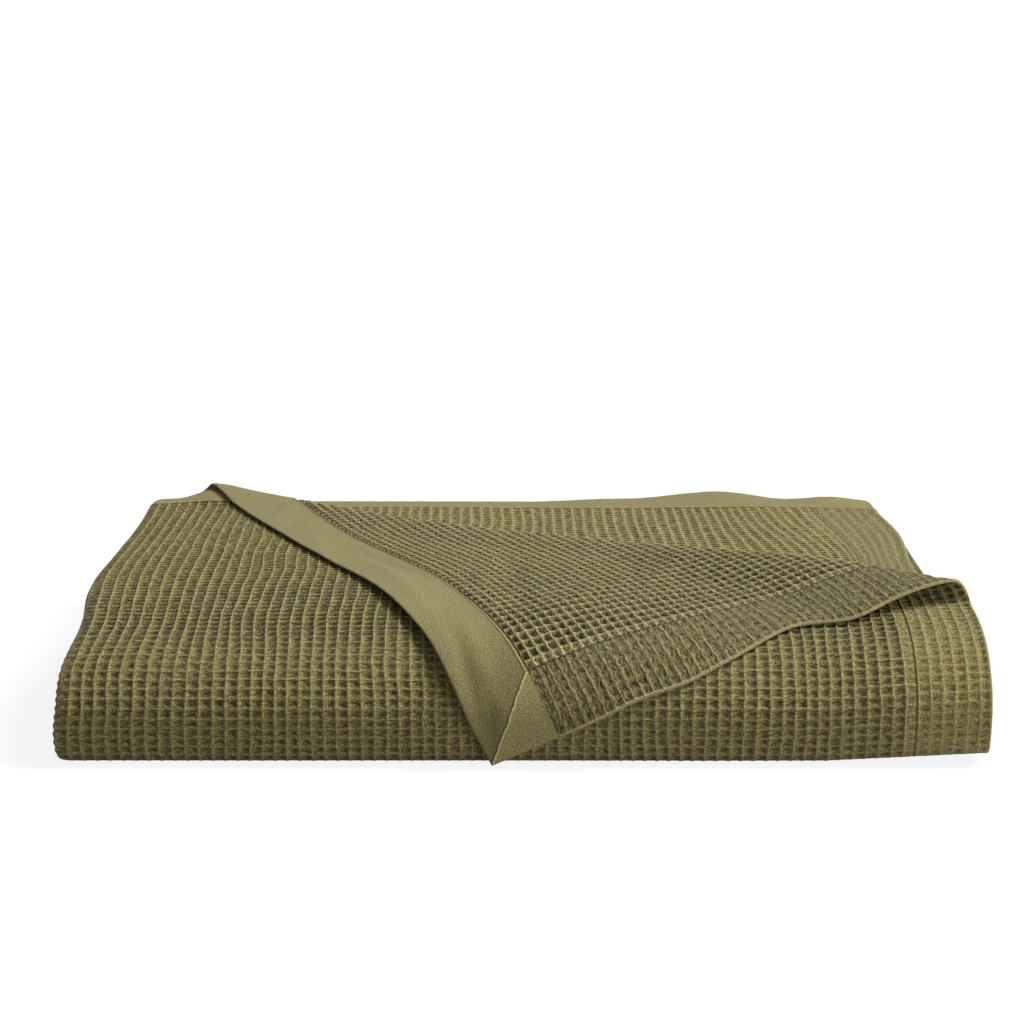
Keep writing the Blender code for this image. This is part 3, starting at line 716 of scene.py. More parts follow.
# ---- meshes
def make_mesh(
    name: str,
    points: Array,
    faces: Sequence[Array],
    cloth_uv: Array,
    values: dict[str, Array],
) -> bpy.types.Object:
    """Mesh object from whole arrays, with unused points left out; all but the first faces use slot 1.

    Args:
        name: name of the object.
        points: (n, 3) array.
        faces: arrays of point numbers, one for each number of corners.
        cloth_uv: (n, 2) flat position of each point, for the UV map.
        values: number arrays of length n, kept as point attributes.

    Returns:
        The new object, linked to the scene.
    """
    used = np.zeros(len(points), bool)
    for group in faces:
        used[group.ravel()] = True
    new_index = np.cumsum(used) - 1
    loops = np.concatenate([new_index[group].ravel() for group in faces]).astype(np.int32)
    sizes = np.concatenate([np.full(len(group), group.shape[1]) for group in faces])
    starts = np.concatenate(([0], np.cumsum(sizes)[:-1])).astype(np.int32)
    slots = (np.arange(len(sizes)) >= len(faces[0])).astype(np.int32)
    mesh = bpy.data.meshes.new(name)
    mesh.vertices.add(int(used.sum()))
    mesh.loops.add(len(loops))
    mesh.polygons.add(len(sizes))
    mesh.vertices.foreach_set("co", points[used].astype(np.float32).ravel())
    mesh.polygons.foreach_set("loop_start", starts)
    mesh.loops.foreach_set("vertex_index", loops)
    mesh.polygons.foreach_set("use_smooth", np.ones(len(sizes), bool))
    mesh.polygons.foreach_set("material_index", slots)
    mesh.update(calc_edges=True)
    layer = mesh.uv_layers.new(name="cloth")
    layer.data.foreach_set("uv", cloth_uv[used][loops].astype(np.float32).ravel())
    for key, value in values.items():
        attribute = mesh.attributes.new(key, "FLOAT", "POINT")
        attribute.data.foreach_set("value", value[used].astype(np.float32))
    mesh.validate()
    made = bpy.data.objects.new(name, mesh)
    bpy.context.scene.collection.objects.link(made)
    return made


def normals_of(points: Array, across: Array, along: Array) -> Array:
    """Unit normals of a grid of points: the cross product of its slopes across and along.

    Args:
        points: (n, m, 3) array.
        across: flat width of each line of the grid.
        along: flat length of each point on a line.

    Returns:
        The normals, in an array of the same shape.
    """
    slope_across = np.gradient(points, across, axis=0)
    slope_along = np.gradient(points, along, axis=1)
    normal = np.cross(slope_across, slope_along)
    return normal / np.maximum(np.linalg.norm(normal, axis=-1, keepdims=True), 1e-12)


# ---- the weave's relief
@dataclass(frozen=True)
class Places:
    """Points of a grid: flat position, distance from the nearer side edge and end, and place in their cell.

    The place is from 0 to 1 across the cell and along it. Down is 0 on top of the pad, and 1 from where the
    front is steep.
    """

    across: Array
    along: Array
    from_side: Array
    from_end: Array
    in_cell: tuple[Array, Array]
    down: Array

    @property
    def from_edge(self) -> Array:
        """Distance from the nearest edge."""
        return np.minimum(self.from_side, self.from_end)


@dataclass(frozen=True)
class Wander:
    """Seeded unevenness: how strong it is, the size of its waves in metres, and its seed."""

    strength: float
    size: float
    seed: int

    def at(self, places: Places, share: Array | float = 1.0) -> Array:
        """Strength times a share times soft noise, at flat positions."""
        return self.strength * share * soft_noise(places.across, places.along, self.size, self.seed)


@dataclass(frozen=True)
class SewnRidge:
    """Ridge or groove of a sewn line: its height, its place beside the line and its half width, metres."""

    height: float
    beside: float
    half_width: float

    def at(self, distance: Array) -> Array:
        """Height times a Gaussian of the distance from the ridge's middle."""
        return self.height * ridge(distance - self.beside, self.half_width)


@dataclass(frozen=True)
class CellShape:
    """Shape of the hollows: 1 less a power of the distance from the cell's middle, in half cells.

    Down the front the power is lower by softer_front, so that the hollows have four sloping faces there. The
    distances across and along are broad_across and broad_along times as great, and the lower ridges sag.
    """

    power: float
    softer_front: float
    broad_across: float
    broad_along: float
    sunk: float


class Ribs(Enum):
    """Which ridges of the cells stand out most; its value is the shape of the hollows."""

    BOTH = CellShape(2.8, 1.2, 1.0, 1.0, 0.12)
    ALONG = CellShape(2.1, 0.0, 1.12, 1.0, 0.1)
    ACROSS = CellShape(2.1, 0.0, 1.0, 1.06, 0.3)


@dataclass(frozen=True)
class WaffleRelief:
    """How far the cloth's surface stands off its middle, from the flat position, in metres, and the painted
    shade of its hollows.
    """

    weave: WeaveSizes
    width: float
    length: float
    # length at which the front starts to curve under the pad, and width at which the left fold starts
    front: float
    left_fold: float
    # the front is steep from one length before it curves under, and blends into the top over another
    steep_before: float = 0.115
    steep_blend: float = 0.05
    # levels of ridges, band and hem over the cloth's middle, and depths of the hollows under them
    ridge_level: float = 0.0015
    band_level: float = 0.0009
    hem_level: float = 0.00125
    pit: float = 0.0026
    hem_pit: float = 0.0015
    shallow_front: float = 0.2
    sag_width: float = 0.5
    # hem cells: deeper on the right side, shallower and with thin ridges on the wrong one
    hem_pit_right: float = 1.25
    hem_pit_wrong: float = 0.65
    hem_power: float = 3.2
    hem_weak: float = 0.6
    # smooth steps at the band, the hem and their ends
    band_blend: float = 0.0008
    hem_blend: float = 0.0012
    bare_edge: float = 0.0012
    bare_blend: float = 0.0022
    edge_lip: float = 0.0002
    edge_round: float = 0.0014
    edge_least: float = 0.12
    woven_edge: float = 0.0006
    woven_blend: float = 0.002
    # cells drawn shallow, with less painted shade, beside the hem's stitched row
    row_least: float = 0.4
    row_reach: float = 0.009
    # painted shade of the hollows, deepest beside the ridge on the right of each cell down the front: powers
    # of the cell, painted shade of hem and band
    top_shade_power: float = 0.62
    along_shade_power: float = 0.85
    front_floor: float = 0.2
    front_gain: float = 3.4
    front_start: float = 0.28
    front_shade_beside: tuple[float, float, float] = (0.28, 0.48, 1.5)
    hem_painted_shade_levels: tuple[float, float] = (0.2, 0.28)
    hem_painted_shade_along: float = 0.75
    band_painted_shade: float = 0.32
    band_painted_shade_reach: float = 0.2
    mitre_blend: float = 0.001
    # unevenness of the hollows and of the plain band
    pit_wander: Wander = Wander(0.16, 0.011, 3)
    hem_wander: Wander = Wander(0.3, 0.009, 5)
    band_wander: Wander = Wander(0.00012, 0.006, 7)
    # stitched lines: the band's seam, the hem's row on either side of the cloth, and the mitre
    seam_groove: SewnRidge = SewnRidge(0.0011, 0.0003, 0.00055)
    seam_roll: SewnRidge = SewnRidge(0.00035, -0.0012, 0.0007)
    row_right: SewnRidge = SewnRidge(0.0004, 0.0, 0.0007)
    row_wrong: SewnRidge = SewnRidge(0.00065, 0.0, 0.0007)
    mitre_roll: SewnRidge = SewnRidge(0.00035, -0.0006, 0.0016)
    mitre_groove: SewnRidge = SewnRidge(0.00035, 0.0022, 0.0016)
    line_blend: float = 0.002
    # pressed flatter at the floor and at the left fold: by what share, and how far past their start
    presses: Table = ((0.75, 0.012), (0.55, 0.006))
    press_half: float = 0.008

    def places(self, across: Array, along: Array) -> Places:
        """Look at flat positions.

        Args:
            across: flat width of the points.
            along: flat length of the points.

        Returns:
            Where the points lie.
        """
        from_side = np.minimum(across, self.width - across)
        from_end = np.minimum(along, self.length - along)
        cells = across / self.weave.cell_across, (along - self.weave.end_band) / self.weave.cell_along
        down = ease((along - (self.front - self.steep_before)) / self.steep_blend)
        return Places(across, along, from_side, from_end, tuple(x - np.floor(x) for x in cells), down)

    def rounding(self, from_edge: Array) -> Array:
        """Share of a level near an edge: a quarter circle up from the least share to 1."""
        away = 1.0 - np.clip(from_edge / self.edge_round, 0.0, 1.0)
        return self.edge_least + (1.0 - self.edge_least) * np.sqrt(np.maximum(1.0 - away**2, 0.0))

    def mitre(self, places: Places) -> Array:
        """Distance from the mitre, which runs from the corner to where the two stitched lines meet."""
        band, hem = self.weave.end_band, self.weave.side_hem
        return (places.from_side * band - places.from_end * hem) / math.hypot(band, hem)

    def cell(self, places: Places, ribs: Ribs) -> Array:
        """Depth in a waffle cell, 0 on its ridges and 1 in its middle: a four-sided hollow.

        Args:
            places: the points.
            ribs: which ridges stand out; the others sag between them.

        Returns:
            The depth at each point, between 0 and 1.
        """
        shape = ribs.value
        across, along = (np.abs(2.0 * share - 1.0) for share in places.in_cell)
        across = np.minimum(shape.broad_across * across, 1.0)
        along = np.minimum(shape.broad_along * along, 1.0)
        over, beside = (along, across) if ribs is Ribs.ACROSS else (across, along)
        sag = shape.sunk * (1.0 - over**2) * ridge(1.0 - beside, self.sag_width)
        power = shape.power - shape.softer_front * places.down
        return np.maximum(1.0 - np.maximum(across, along) ** power, sag)

    def painted_shade(self, places: Places, cell: Array, ribs: Ribs) -> Array:
        """Painted shade in the cells' hollows: deepest in the middle of the cells on top of the pad.

        Down the front it is deepest beside the ridge on the right of each cell, the side away from the
        light, and falls off to the left.

        Args:
            places: the points.
            cell: their depth in the cell.
            ribs: which ridges stand out.

        Returns:
            The painted shade at each point, between 0 and 1.
        """
        if ribs is Ribs.ACROSS:
            return cell
        if ribs is Ribs.ALONG:
            return cell**self.along_shade_power
        least, more, power = self.front_shade_beside
        beside = least + more * (1.0 - places.in_cell[0]) ** power
        front = self.front_floor + ease(self.front_gain * cell - self.front_start) * beside
        return cell**self.top_shade_power * (1.0 - places.down) + front * places.down

    def surface(self, places: Places, side: Side, ribs: Ribs) -> tuple[Array, Array, Array]:
        """Level of the shown side over the cloth's middle, its painted shade in the hollows, its share of
        waffle.

        Waffle, hem and band give way to each other by smooth steps, and the stitched lines are added.

        Args:
            places: the points.
            side: which side of the cloth is shown.
            ribs: which ridges stand out.

        Returns:
            Levels in metres, and painted shades and shares of waffle between 0 and 1.
        """
        past_band = places.from_end - self.weave.end_band
        past_row = places.from_side - self.weave.side_hem
        in_band = 1.0 - ease((past_band + self.band_blend / 2.0) / self.band_blend)
        in_hem = 1.0 - ease((past_row + self.hem_blend / 2.0) / self.hem_blend)
        near_row = self.row_least + (1.0 - self.row_least) * ease(past_row / self.row_reach)
        cell = self.cell(places, ribs)
        pit = self.pit * (1.0 + self.pit_wander.at(places)) * near_row
        pit = pit * (1.0 - self.shallow_front * places.down)
        hem, hem_painted_shade = self._hem(places, cell, side, ribs)
        band = self.band_level + self.band_wander.at(places)
        level = (self.ridge_level - pit * cell) * (1.0 - in_hem) + hem * in_hem
        level = level * (1.0 - in_band) + band * in_band
        if side is Side.RIGHT:
            beyond = (places.along - self.front, places.across - self.left_fold)
            for (share, past), distance in zip(self.presses, beyond):
                level = level * (1.0 - share * bell(distance - past, self.press_half))
        level = level + self._sewing(past_band, past_row, self.mitre(places), side)
        # painted shade in the cells' hollows, lighter beside the hem's row, none in the band
        painted_shade = self.painted_shade(places, cell, ribs) * near_row
        hollow = (painted_shade * (1.0 - in_hem) + hem_painted_shade * in_hem) * (1.0 - in_band)
        # painted shade on the turned corner's band, darker towards its tip
        if ribs is Ribs.ACROSS:
            shade = self.band_painted_shade * (1.0 - ease(places.across / self.band_painted_shade_reach))
            hollow = hollow + shade * ease(self.mitre(places) / self.mitre_blend) * in_band
        woven = (1.0 - in_band) * ease((places.from_side - self.woven_edge) / self.woven_blend)
        return level * self.rounding(places.from_edge), np.clip(hollow, 0.0, 1.0), woven

    def _hem(self, places: Places, cell: Array, side: Side, ribs: Ribs) -> tuple[Array, Array]:
        """Level and painted shade of the side hem: cells as in the waffle, or thin lines on the wrong side.

        Args:
            places: the points.
            cell: their depth in the cell.
            side: which side of the cloth is shown.
            ribs: which ridges stand out.

        Returns:
            Levels in metres, and painted shades between 0 and 1.
        """
        pit = self.hem_pit * (1.0 + self.hem_wander.at(places))
        if side is Side.RIGHT:
            pit = pit * self.hem_pit_right
        else:
            away = [np.abs(2.0 * share - 1.0) ** self.hem_power for share in places.in_cell]
            main, weak = away[::-1] if ribs is Ribs.ACROSS else away
            cell = 1.0 - np.maximum(main, self.hem_weak * weak)
            pit = pit * self.hem_pit_wrong
        bare = ease((places.from_side - self.bare_edge) / self.bare_blend)
        level = self.hem_level + self.edge_lip * (1.0 - bare) - pit * cell * bare
        # painted shade of the hem's cells, lighter on the second ply
        painted_shade = (self.hem_painted_shade_levels[0] + self.hem_painted_shade_levels[1] * cell) * bare
        return level, painted_shade * (self.hem_painted_shade_along if ribs is Ribs.ALONG else 1.0)

    def _sewing(self, seam: Array, row: Array, mitre: Array, side: Side) -> Array:
        """What the stitched lines add to the level.

        Args:
            seam: distance past the band's seam.
            row: distance past the hem's row.
            mitre: distance past the mitre.
            side: which side of the cloth is shown.

        Returns:
            Levels to add, metres.
        """
        blend, row_groove = self.line_blend, self.row_right if side is Side.RIGHT else self.row_wrong
        added = ease(row / blend) * (self.seam_roll.at(seam) - self.seam_groove.at(seam))
        added = added - ease(seam / blend) * row_groove.at(row)
        in_corner = ease(0.5 - seam / blend) * ease(0.5 - row / blend)
        return added + in_corner * (self.mitre_roll.at(mitre) - self.mitre_groove.at(mitre))


@dataclass
class ReliefSheet:
    """A stretch of the cloth as one closed thin sheet, with the weave's relief on its shown side.

    The shown side is a fine grid, the other side has one quad a block, and a rim joins the two round all
    blocks that are kept. Where strength falls to 0, the sheet thins to the levels in thinned, inside the
    stretch that goes on from there.
    """

    name: str
    cloth: FoldedCloth
    relief: WaffleRelief
    across: Array
    along: Array
    side: Side = Side.RIGHT
    ribs: Ribs = Ribs.BOTH
    # where fine lines divide a block, as shares of it, across and along
    parts: Table = ((0.0, 0.07, 0.26, 0.5, 0.74, 0.93), (0.0, 0.08, 0.36, 0.64, 0.92))
    keep: Callable[[Array, Array], Array] | None = None
    strength: Callable[[Array, Array], Array] | None = None
    hidden_level: float = 0.0013
    # painted shade given to the hidden side's points
    hidden_hollow: float = 0.45
    thinned: tuple[float, float] = (0.00125, -0.00115)
    # how the lines of cells wander, and where they lie calm: beside edges and seams
    sway: Wander = Wander(0.00045, 0.008, 11)
    wide_sway: Wander = Wander(0.002, 0.045, 13)
    drift: Wander = Wander(0.00034, 0.007, 12)
    bend: float = 0.0003
    calm_reach: float = 0.012
    calm_seam: float = 0.002
    wide_calm: tuple[float, float] = (0.045, 0.08)
    area: float = field(default=0.0, init=False)

    def fine_lines(self, blocks: Array, parts: tuple[float, ...]) -> Array:
        """Every block's edge and the lines inside it, at the same shares of each block."""
        inner = blocks[:-1, None] + np.diff(blocks)[:, None] * np.array(parts)[None, :]
        return np.append(inner.ravel(), blocks[-1])

    def build(self) -> bpy.types.Object:
        """Build the closed sheet: the cloth's middle, moved out along its normals by the relief's level.

        Returns:
            The new object.
        """
        fine_across = self.fine_lines(self.across, self.parts[0])
        fine_along = self.fine_lines(self.along, self.parts[1])
        width, length = np.meshgrid(fine_across, fine_along, indexing="ij")
        places = self.relief.places(width, length)
        middle = self._middle(places)
        normal = normals_of(self.cloth.place(width, length), fine_across, fine_along) * self.side.value
        level, hollow, waffle = self.relief.surface(places, self.side, self.ribs)
        full = np.ones(width.shape) if self.strength is None else self.strength(width, length)
        shown = middle + normal * (level * full + self.thinned[0] * (1.0 - full))[..., None]
        coarse = (slice(None, None, len(self.parts[0])), slice(None, None, len(self.parts[1])))
        under = self.hidden_level * self.relief.rounding(places.from_edge[coarse]) * full[coarse]
        under = under + self.thinned[1] * (1.0 - full[coarse])
        hidden = middle[coarse] - normal[coarse] * under[..., None]
        flat = np.stack((width, length), axis=-1)
        # the hollow attribute carries the painted shade of the cells to the colour
        values = {
            "hollow": np.concatenate((hollow.ravel(), np.full(under.size, self.hidden_hollow))),
            "waffle": np.concatenate((waffle.ravel(), waffle[coarse].ravel())),
        }
        made = make_mesh(
            self.name,
            np.concatenate((shown.reshape(-1, 3), hidden.reshape(-1, 3))),
            self._faces(width.shape, under.shape),
            np.concatenate((flat.reshape(-1, 2), flat[coarse].reshape(-1, 2))),
            values,
        )
        made.data.calc_loop_triangles()
        log.info("%s: %d triangles, %.4f square metres", self.name, len(made.data.loop_triangles), self.area)
        return made

    def _middle(self, places: Places) -> Array:
        """Middle of the cloth, with its lines of cells uneven: swaying sideways and drifting lengthways.

        Args:
            places: the points of the shown side.

        Returns:
            An array with x, y and z in its last axis.
        """
        weave, from_edge = self.relief.weave, places.from_edge
        from_row = np.abs(places.from_side - weave.side_hem)
        from_seam = np.minimum(from_row, np.abs(places.from_end - weave.end_band))
        calm = ease(np.minimum(from_edge, from_seam + self.calm_seam) / self.calm_reach)
        wide_calm = ease((from_edge - self.wide_calm[0]) / self.wide_calm[1])
        sway = self.sway.at(places, calm) + self.wide_sway.at(places, wide_calm)
        bend = self.bend * calm * np.cos(2.0 * math.pi * places.across / weave.cell_across)
        return self.cloth.place(places.across + sway, places.along + self.drift.at(places, calm) + bend)

    def _faces(self, fine: tuple[int, int], coarse: tuple[int, int]) -> list[Array]:
        """Quads of both sides and the rim's many-sided faces, for the kept blocks.

        Args:
            fine: size of the shown side's grid.
            coarse: size of the hidden side's grid.

        Returns:
            Arrays of point numbers, all turned outwards.
        """
        shown = np.arange(fine[0] * fine[1]).reshape(fine)
        hidden = np.arange(coarse[0] * coarse[1]).reshape(coarse) + fine[0] * fine[1]
        middle_across = 0.5 * (self.across[1:] + self.across[:-1])
        middle_along = 0.5 * (self.along[1:] + self.along[:-1])
        kept = np.ones((coarse[0] - 1, coarse[1] - 1), bool)
        if self.keep is not None:
            kept &= self.keep(*np.meshgrid(middle_across, middle_along, indexing="ij"))
        self.area = float((np.outer(np.diff(self.across), np.diff(self.along)) * kept).sum())
        steps = (len(self.parts[0]), len(self.parts[1]))
        fine_kept = np.kron(kept, np.ones(steps, bool)).astype(bool)
        quads = np.stack((shown[:-1, :-1], shown[1:, :-1], shown[1:, 1:], shown[:-1, 1:]), axis=-1)
        under = np.stack((hidden[:-1, :-1], hidden[:-1, 1:], hidden[1:, 1:], hidden[1:, :-1]), axis=-1)
        rims = [self._rim(shown, hidden, kept, axis, far) for axis in (0, 1) for far in (False, True)]
        faces = [quads[fine_kept], under[kept], *[rim for rim in rims if len(rim)]]
        return faces if self.side is Side.RIGHT else [group[:, ::-1] for group in faces]

    def _rim(self, shown: Array, hidden: Array, kept: Array, axis: int, far: bool) -> Array:
        """Faces of the rim on one side of the kept blocks that have no kept neighbour there.

        Each face has the block's fine points on the shown side and its two corners on the hidden side.

        Args:
            shown: point numbers of the shown side's grid.
            hidden: point numbers of the hidden side's grid.
            kept: which blocks are kept.
            axis: 0 for a rim across the cloth, 1 for one along it.
            far: whether it is the far side of the blocks.

        Returns:
            An array of point numbers, a row for each face.
        """
        steps = (len(self.parts[0]), len(self.parts[1]))
        neighbour = np.roll(np.pad(kept, 1), -1 if far else 1, axis=axis)[1:-1, 1:-1]
        column, row = np.nonzero(kept & ~neighbour)
        if axis == 0:
            line = column + far
            run = row[:, None] * steps[1] + np.arange(steps[1] + 1)
            upper = shown[(line * steps[0])[:, None], run]
            lower = np.stack((hidden[line, row + 1], hidden[line, row]), axis=-1)
        else:
            line = row + far
            run = column[:, None] * steps[0] + np.arange(steps[0] + 1)
            upper = shown[run, (line * steps[1])[:, None]][:, ::-1]
            lower = np.stack((hidden[column, line], hidden[column + 1, line]), axis=-1)
        rim = np.concatenate((upper, lower), axis=1)
        return rim[:, ::-1] if far else rim


# ---- finishes
@dataclass(frozen=True)
class Grain:
    """One noise in the yarn: its scale per metre, its detail and its roughness."""

    scale: float
    detail: float
    rough: float


class NodeTree:
    """Short ways to add and join nodes in one node tree."""

    def __init__(self, tree: bpy.types.NodeTree) -> None:
        """Keep the tree.

        Args:
            tree: node tree of a material or a group.
        """
        self.tree = tree

    def node(self, kind: str, **settings: object) -> bpy.types.Node:
        """Add a node.

        Args:
            kind: type of the node.
            **settings: its properties, by name.

        Returns:
            The new node.
        """
        made = self.tree.nodes.new(kind)
        for key, value in settings.items():
            setattr(made, key, value)
        return made

    def put(self, socket: Socket, value: object) -> None:
        """Give an input socket its value, or join it.

        Args:
            socket: the input socket.
            value: a number or colour, or another node's output.
        """
        if isinstance(value, bpy.types.NodeSocket):
            self.tree.links.new(value, socket)
        else:
            socket.default_value = value

    def fed(self, node: bpy.types.Node, values: dict[int | str, object], output: int | str = 0) -> Socket:
        """Give a node's inputs their values, or join them.

        Args:
            node: the node.
            values: a number, a colour or another node's output for each input, by number or name.
            output: number or name of the output that is wanted.

        Returns:
            That output.
        """
        for key, value in values.items():
            self.put(node.inputs[key], value)
        return node.outputs[output]

    def maths(self, operation: str, *values: object) -> Socket:
        """Result of one Math node."""
        return self.fed(self.node("ShaderNodeMath", operation=operation), dict(enumerate(values)))

    def times(self, first: object, second: object) -> Socket:
        """Product of two numbers."""
        return self.maths("MULTIPLY", first, second)

    def less(self, first: object, second: object) -> Socket:
        """First number less the second."""
        return self.maths("SUBTRACT", first, second)

    def plus_times(self, first: object, second: object, third: object) -> Socket:
        """First number times the second, plus the third."""
        return self.maths("MULTIPLY_ADD", first, second, third)

    def span(self, value: object, *ends: float) -> Socket:
        """Smooth step from a low to a high end, which become 0 and 1 or two given numbers."""
        made = self.node("ShaderNodeMapRange", interpolation_type="SMOOTHSTEP")
        return self.fed(made, dict(enumerate((value, *ends))))

    def line(self, distance: object, centre: float, half_width: float) -> Socket:
        """Soft line: 1 where the distance is the centre, 0 from twice the half width away."""
        away = self.maths("ABSOLUTE", self.less(distance, centre))
        return self.span(away, 0.0, 2.0 * half_width, 1.0, 0.0)

    def lerp(self, share: object, first: object, second: object) -> Socket:
        """Number between two others: the first, plus a share of the way to the second."""
        return self.plus_times(self.less(second, first), share, first)

    def mix(self, share: object, first: object, second: object, blend: str = "MIX") -> Socket:
        """Colour between two others by a share, or the two put together in another way."""
        made = self.node("ShaderNodeMix", data_type="RGBA", blend_type=blend)
        return self.fed(made, {"Factor": share, 6: first, 7: second}, 2)

    def noise(self, vector: object, grain: Grain) -> Socket:
        """Value of one Noise node."""
        values = {"Vector": vector, "Scale": grain.scale, "Detail": grain.detail, "Roughness": grain.rough}
        return self.fed(self.node("ShaderNodeTexNoise"), values, "Fac")

    def apart(self, vector: object) -> tuple[Socket, Socket]:
        """First two numbers of a vector."""
        made = self.node("ShaderNodeSeparateXYZ")
        return self.fed(made, {0: vector}), made.outputs[1]

    def placed(self, group: "ShaderGroup", **values: object) -> Sequence[Socket]:
        """Place a node group in this tree.

        Args:
            group: the group.
            **values: a number or an output for each of its inputs, by name.

        Returns:
            Its outputs, to be read by name.
        """
        made = self.node("ShaderNodeGroup", node_tree=group.tree)
        self.fed(made, values)
        return made.outputs


class ShaderGroup(NodeTree):
    """Shader node group with a vector input, Flat, and number sockets by name."""

    def __init__(self, name: str, inputs: Sequence[str], outputs: Sequence[str]) -> None:
        """Make the empty group.

        Args:
            name: name of the group.
            inputs: names of its number inputs.
            outputs: names of its number outputs.
        """
        super().__init__(bpy.data.node_groups.new(name, "ShaderNodeTree"))
        sockets = self.tree.interface
        sockets.new_socket("Flat", in_out="INPUT", socket_type="NodeSocketVector")
        for label in inputs:
            sockets.new_socket(label, in_out="INPUT", socket_type="NodeSocketFloat")
        for label in outputs:
            sockets.new_socket(label, in_out="OUTPUT", socket_type="NodeSocketFloat")
        self.given = self.node("NodeGroupInput").outputs
        self.result = self.node("NodeGroupOutput").inputs
        self.flat = self.given["Flat"]

    def give(self, **values: object) -> None:
        """Join the group's outputs, by name."""
        for label, value in values.items():
            self.put(self.result[label], value)


@dataclass
class CottonEffects:
    """Node groups that the finishes of the cloth share, built once."""

    weave: WeaveSizes
    cloth: FoldedCloth
    # the yarn: strengths of weave and fuzz, the noises, and how long its floats are
    woven: float = 0.45
    fuzzy: float = 2.2
    fuzz: Grain = Grain(700.0, 4.0, 0.7)
    heather: Grain = Grain(900.0, 3.0, 0.65)
    cloud: Grain = Grain(22.0, 3.0, 0.55)
    tint: Grain = Grain(330.0, 2.0, 0.6)
    tint_span: tuple[float, float] = (0.34, 0.66)
    floats: Grain = Grain(640.0, 2.0, 0.6)
    float_stretch: tuple[float, float, float] = (0.34, 1.0, 1.0)
    # half width of the steps at hem and band
    step: float = 0.0004
    # the hem's row: its zigzag's half length, slope and reach, its stitches' length, and its groove
    zig_length: float = 0.0021
    zig_slope: float = 0.6
    zig_reach: float = 0.0006
    stitch: float = 0.0034
    stitch_span: tuple[float, float] = (-0.2, 0.5)
    stitch_roll: float = 0.5
    plain_row: float = 0.62
    sewn_row: tuple[float, float] = (0.9, 1.35)
    row_half: float = 0.001
    thread_at: float = 0.0009
    thread_half: float = 0.0006
    # cells by bump alone: power of a bowl, depth on the rungs, and whole cells that keep the share above 0
    bowl_power: float = 1.7
    rung: float = 0.24
    before: float = 1.0e3

    def __post_init__(self) -> None:
        """Build the groups."""
        self.yarn = self._yarn()
        self.cells = self._cells()
        self.sewing = self._sewing()

    def _yarn(self) -> ShaderGroup:
        """Fine yarn from the flat position: a plain weave, loose fibres and heathered colour.

        Returns:
            The group.
        """
        group = ShaderGroup("cotton_yarn", ("Pitch",), ("Height", "Heather", "Cloud", "Floats", "Tint"))
        x, y = group.apart(group.flat)
        turns = group.maths("DIVIDE", math.pi, group.given["Pitch"])
        waves = [group.maths("SINE", group.times(value, turns)) for value in (x, y)]
        woven = group.maths("ABSOLUTE", group.times(*waves))
        fuzz = group.times(group.noise(group.flat, self.fuzz), self.fuzzy)
        longer = group.node("ShaderNodeVectorMath", operation="MULTIPLY")
        longer = group.fed(longer, {0: group.flat, 1: self.float_stretch})
        group.give(
            Height=group.plus_times(woven, self.woven, fuzz),
            Heather=group.noise(group.flat, self.heather),
            Cloud=group.noise(group.flat, self.cloud),
            Tint=group.span(group.noise(group.flat, self.tint), *self.tint_span, -1.0, 1.0),
            Floats=group.noise(longer, self.floats),
        )
        return group

    def _sewing(self) -> ShaderGroup:
        """Sewn lines from the flat position: the band's seam, the hem's zigzag row and the mitre.

        Each line is a soft band round a distance that is 0 on it. Groove is where the cloth is drawn in,
        and Roll is where a turned edge or a thread stands up.

        Returns:
            The group.
        """
        band, hem = self.weave.end_band, self.weave.side_hem
        group = ShaderGroup("sewn_lines", ("Zigzag",), ("Groove", "Roll"))
        x, y = group.apart(group.flat)
        zigzag = group.given["Zigzag"]
        from_side = group.maths("MINIMUM", x, group.less(self.cloth.width, x))
        from_end = group.maths("MINIMUM", y, group.less(self.cloth.length, y))
        seam, row = group.less(from_end, band), group.less(from_side, hem)
        past_hem, past_band = (group.span(value, -self.step, self.step) for value in (row, seam))
        scale = 1.0 / math.hypot(band, hem)
        mitre = group.less(group.times(from_side, band * scale), group.times(from_end, hem * scale))
        corner = group.times(group.less(1.0, past_hem), group.less(1.0, past_band))
        wave = group.maths("PINGPONG", from_end, self.zig_length)
        swing = group.times(group.plus_times(wave, self.zig_slope, -self.zig_reach), zigzag)
        beats = group.maths("SINE", group.times(from_end, 2.0 * math.pi / self.stitch))
        beats = group.span(beats, *self.stitch_span)
        drawn_in = group.lerp(zigzag, self.plain_row, group.lerp(beats, *self.sewn_row))
        thread = group.times(group.times(beats, zigzag), self.stitch_roll)
        # where it is drawn, the distance it follows, its centre and half width, its strength
        grooves = (
            (past_hem, seam, 0.0006, 0.0007, 1.0),
            (past_hem, seam, -0.0019, 0.0004, 0.5),
            (1.0, seam, 0.0005, 0.0005, 0.6),
            (past_band, group.maths("ADD", row, swing), 0.0, self.row_half, drawn_in),
            (corner, mitre, 0.0013, 0.0004, 0.8),
        )
        rolls = (
            (past_hem, seam, -0.0008, 0.0006, 0.5),
            (past_hem, seam, 0.002, 0.0005, 0.4),
            (past_band, row, self.thread_at, self.thread_half, thread),
            (corner, mitre, 0.0, 0.0006, 1.0),
        )
        for label, lines in (("Groove", grooves), ("Roll", rolls)):
            greatest: object = 0.0
            for within, distance, centre, half_width, strength in lines:
                drawn = group.times(within, group.times(group.line(distance, centre, half_width), strength))
                greatest = group.maths("MAXIMUM", greatest, drawn)
            group.give(**{label: greatest})
        return group

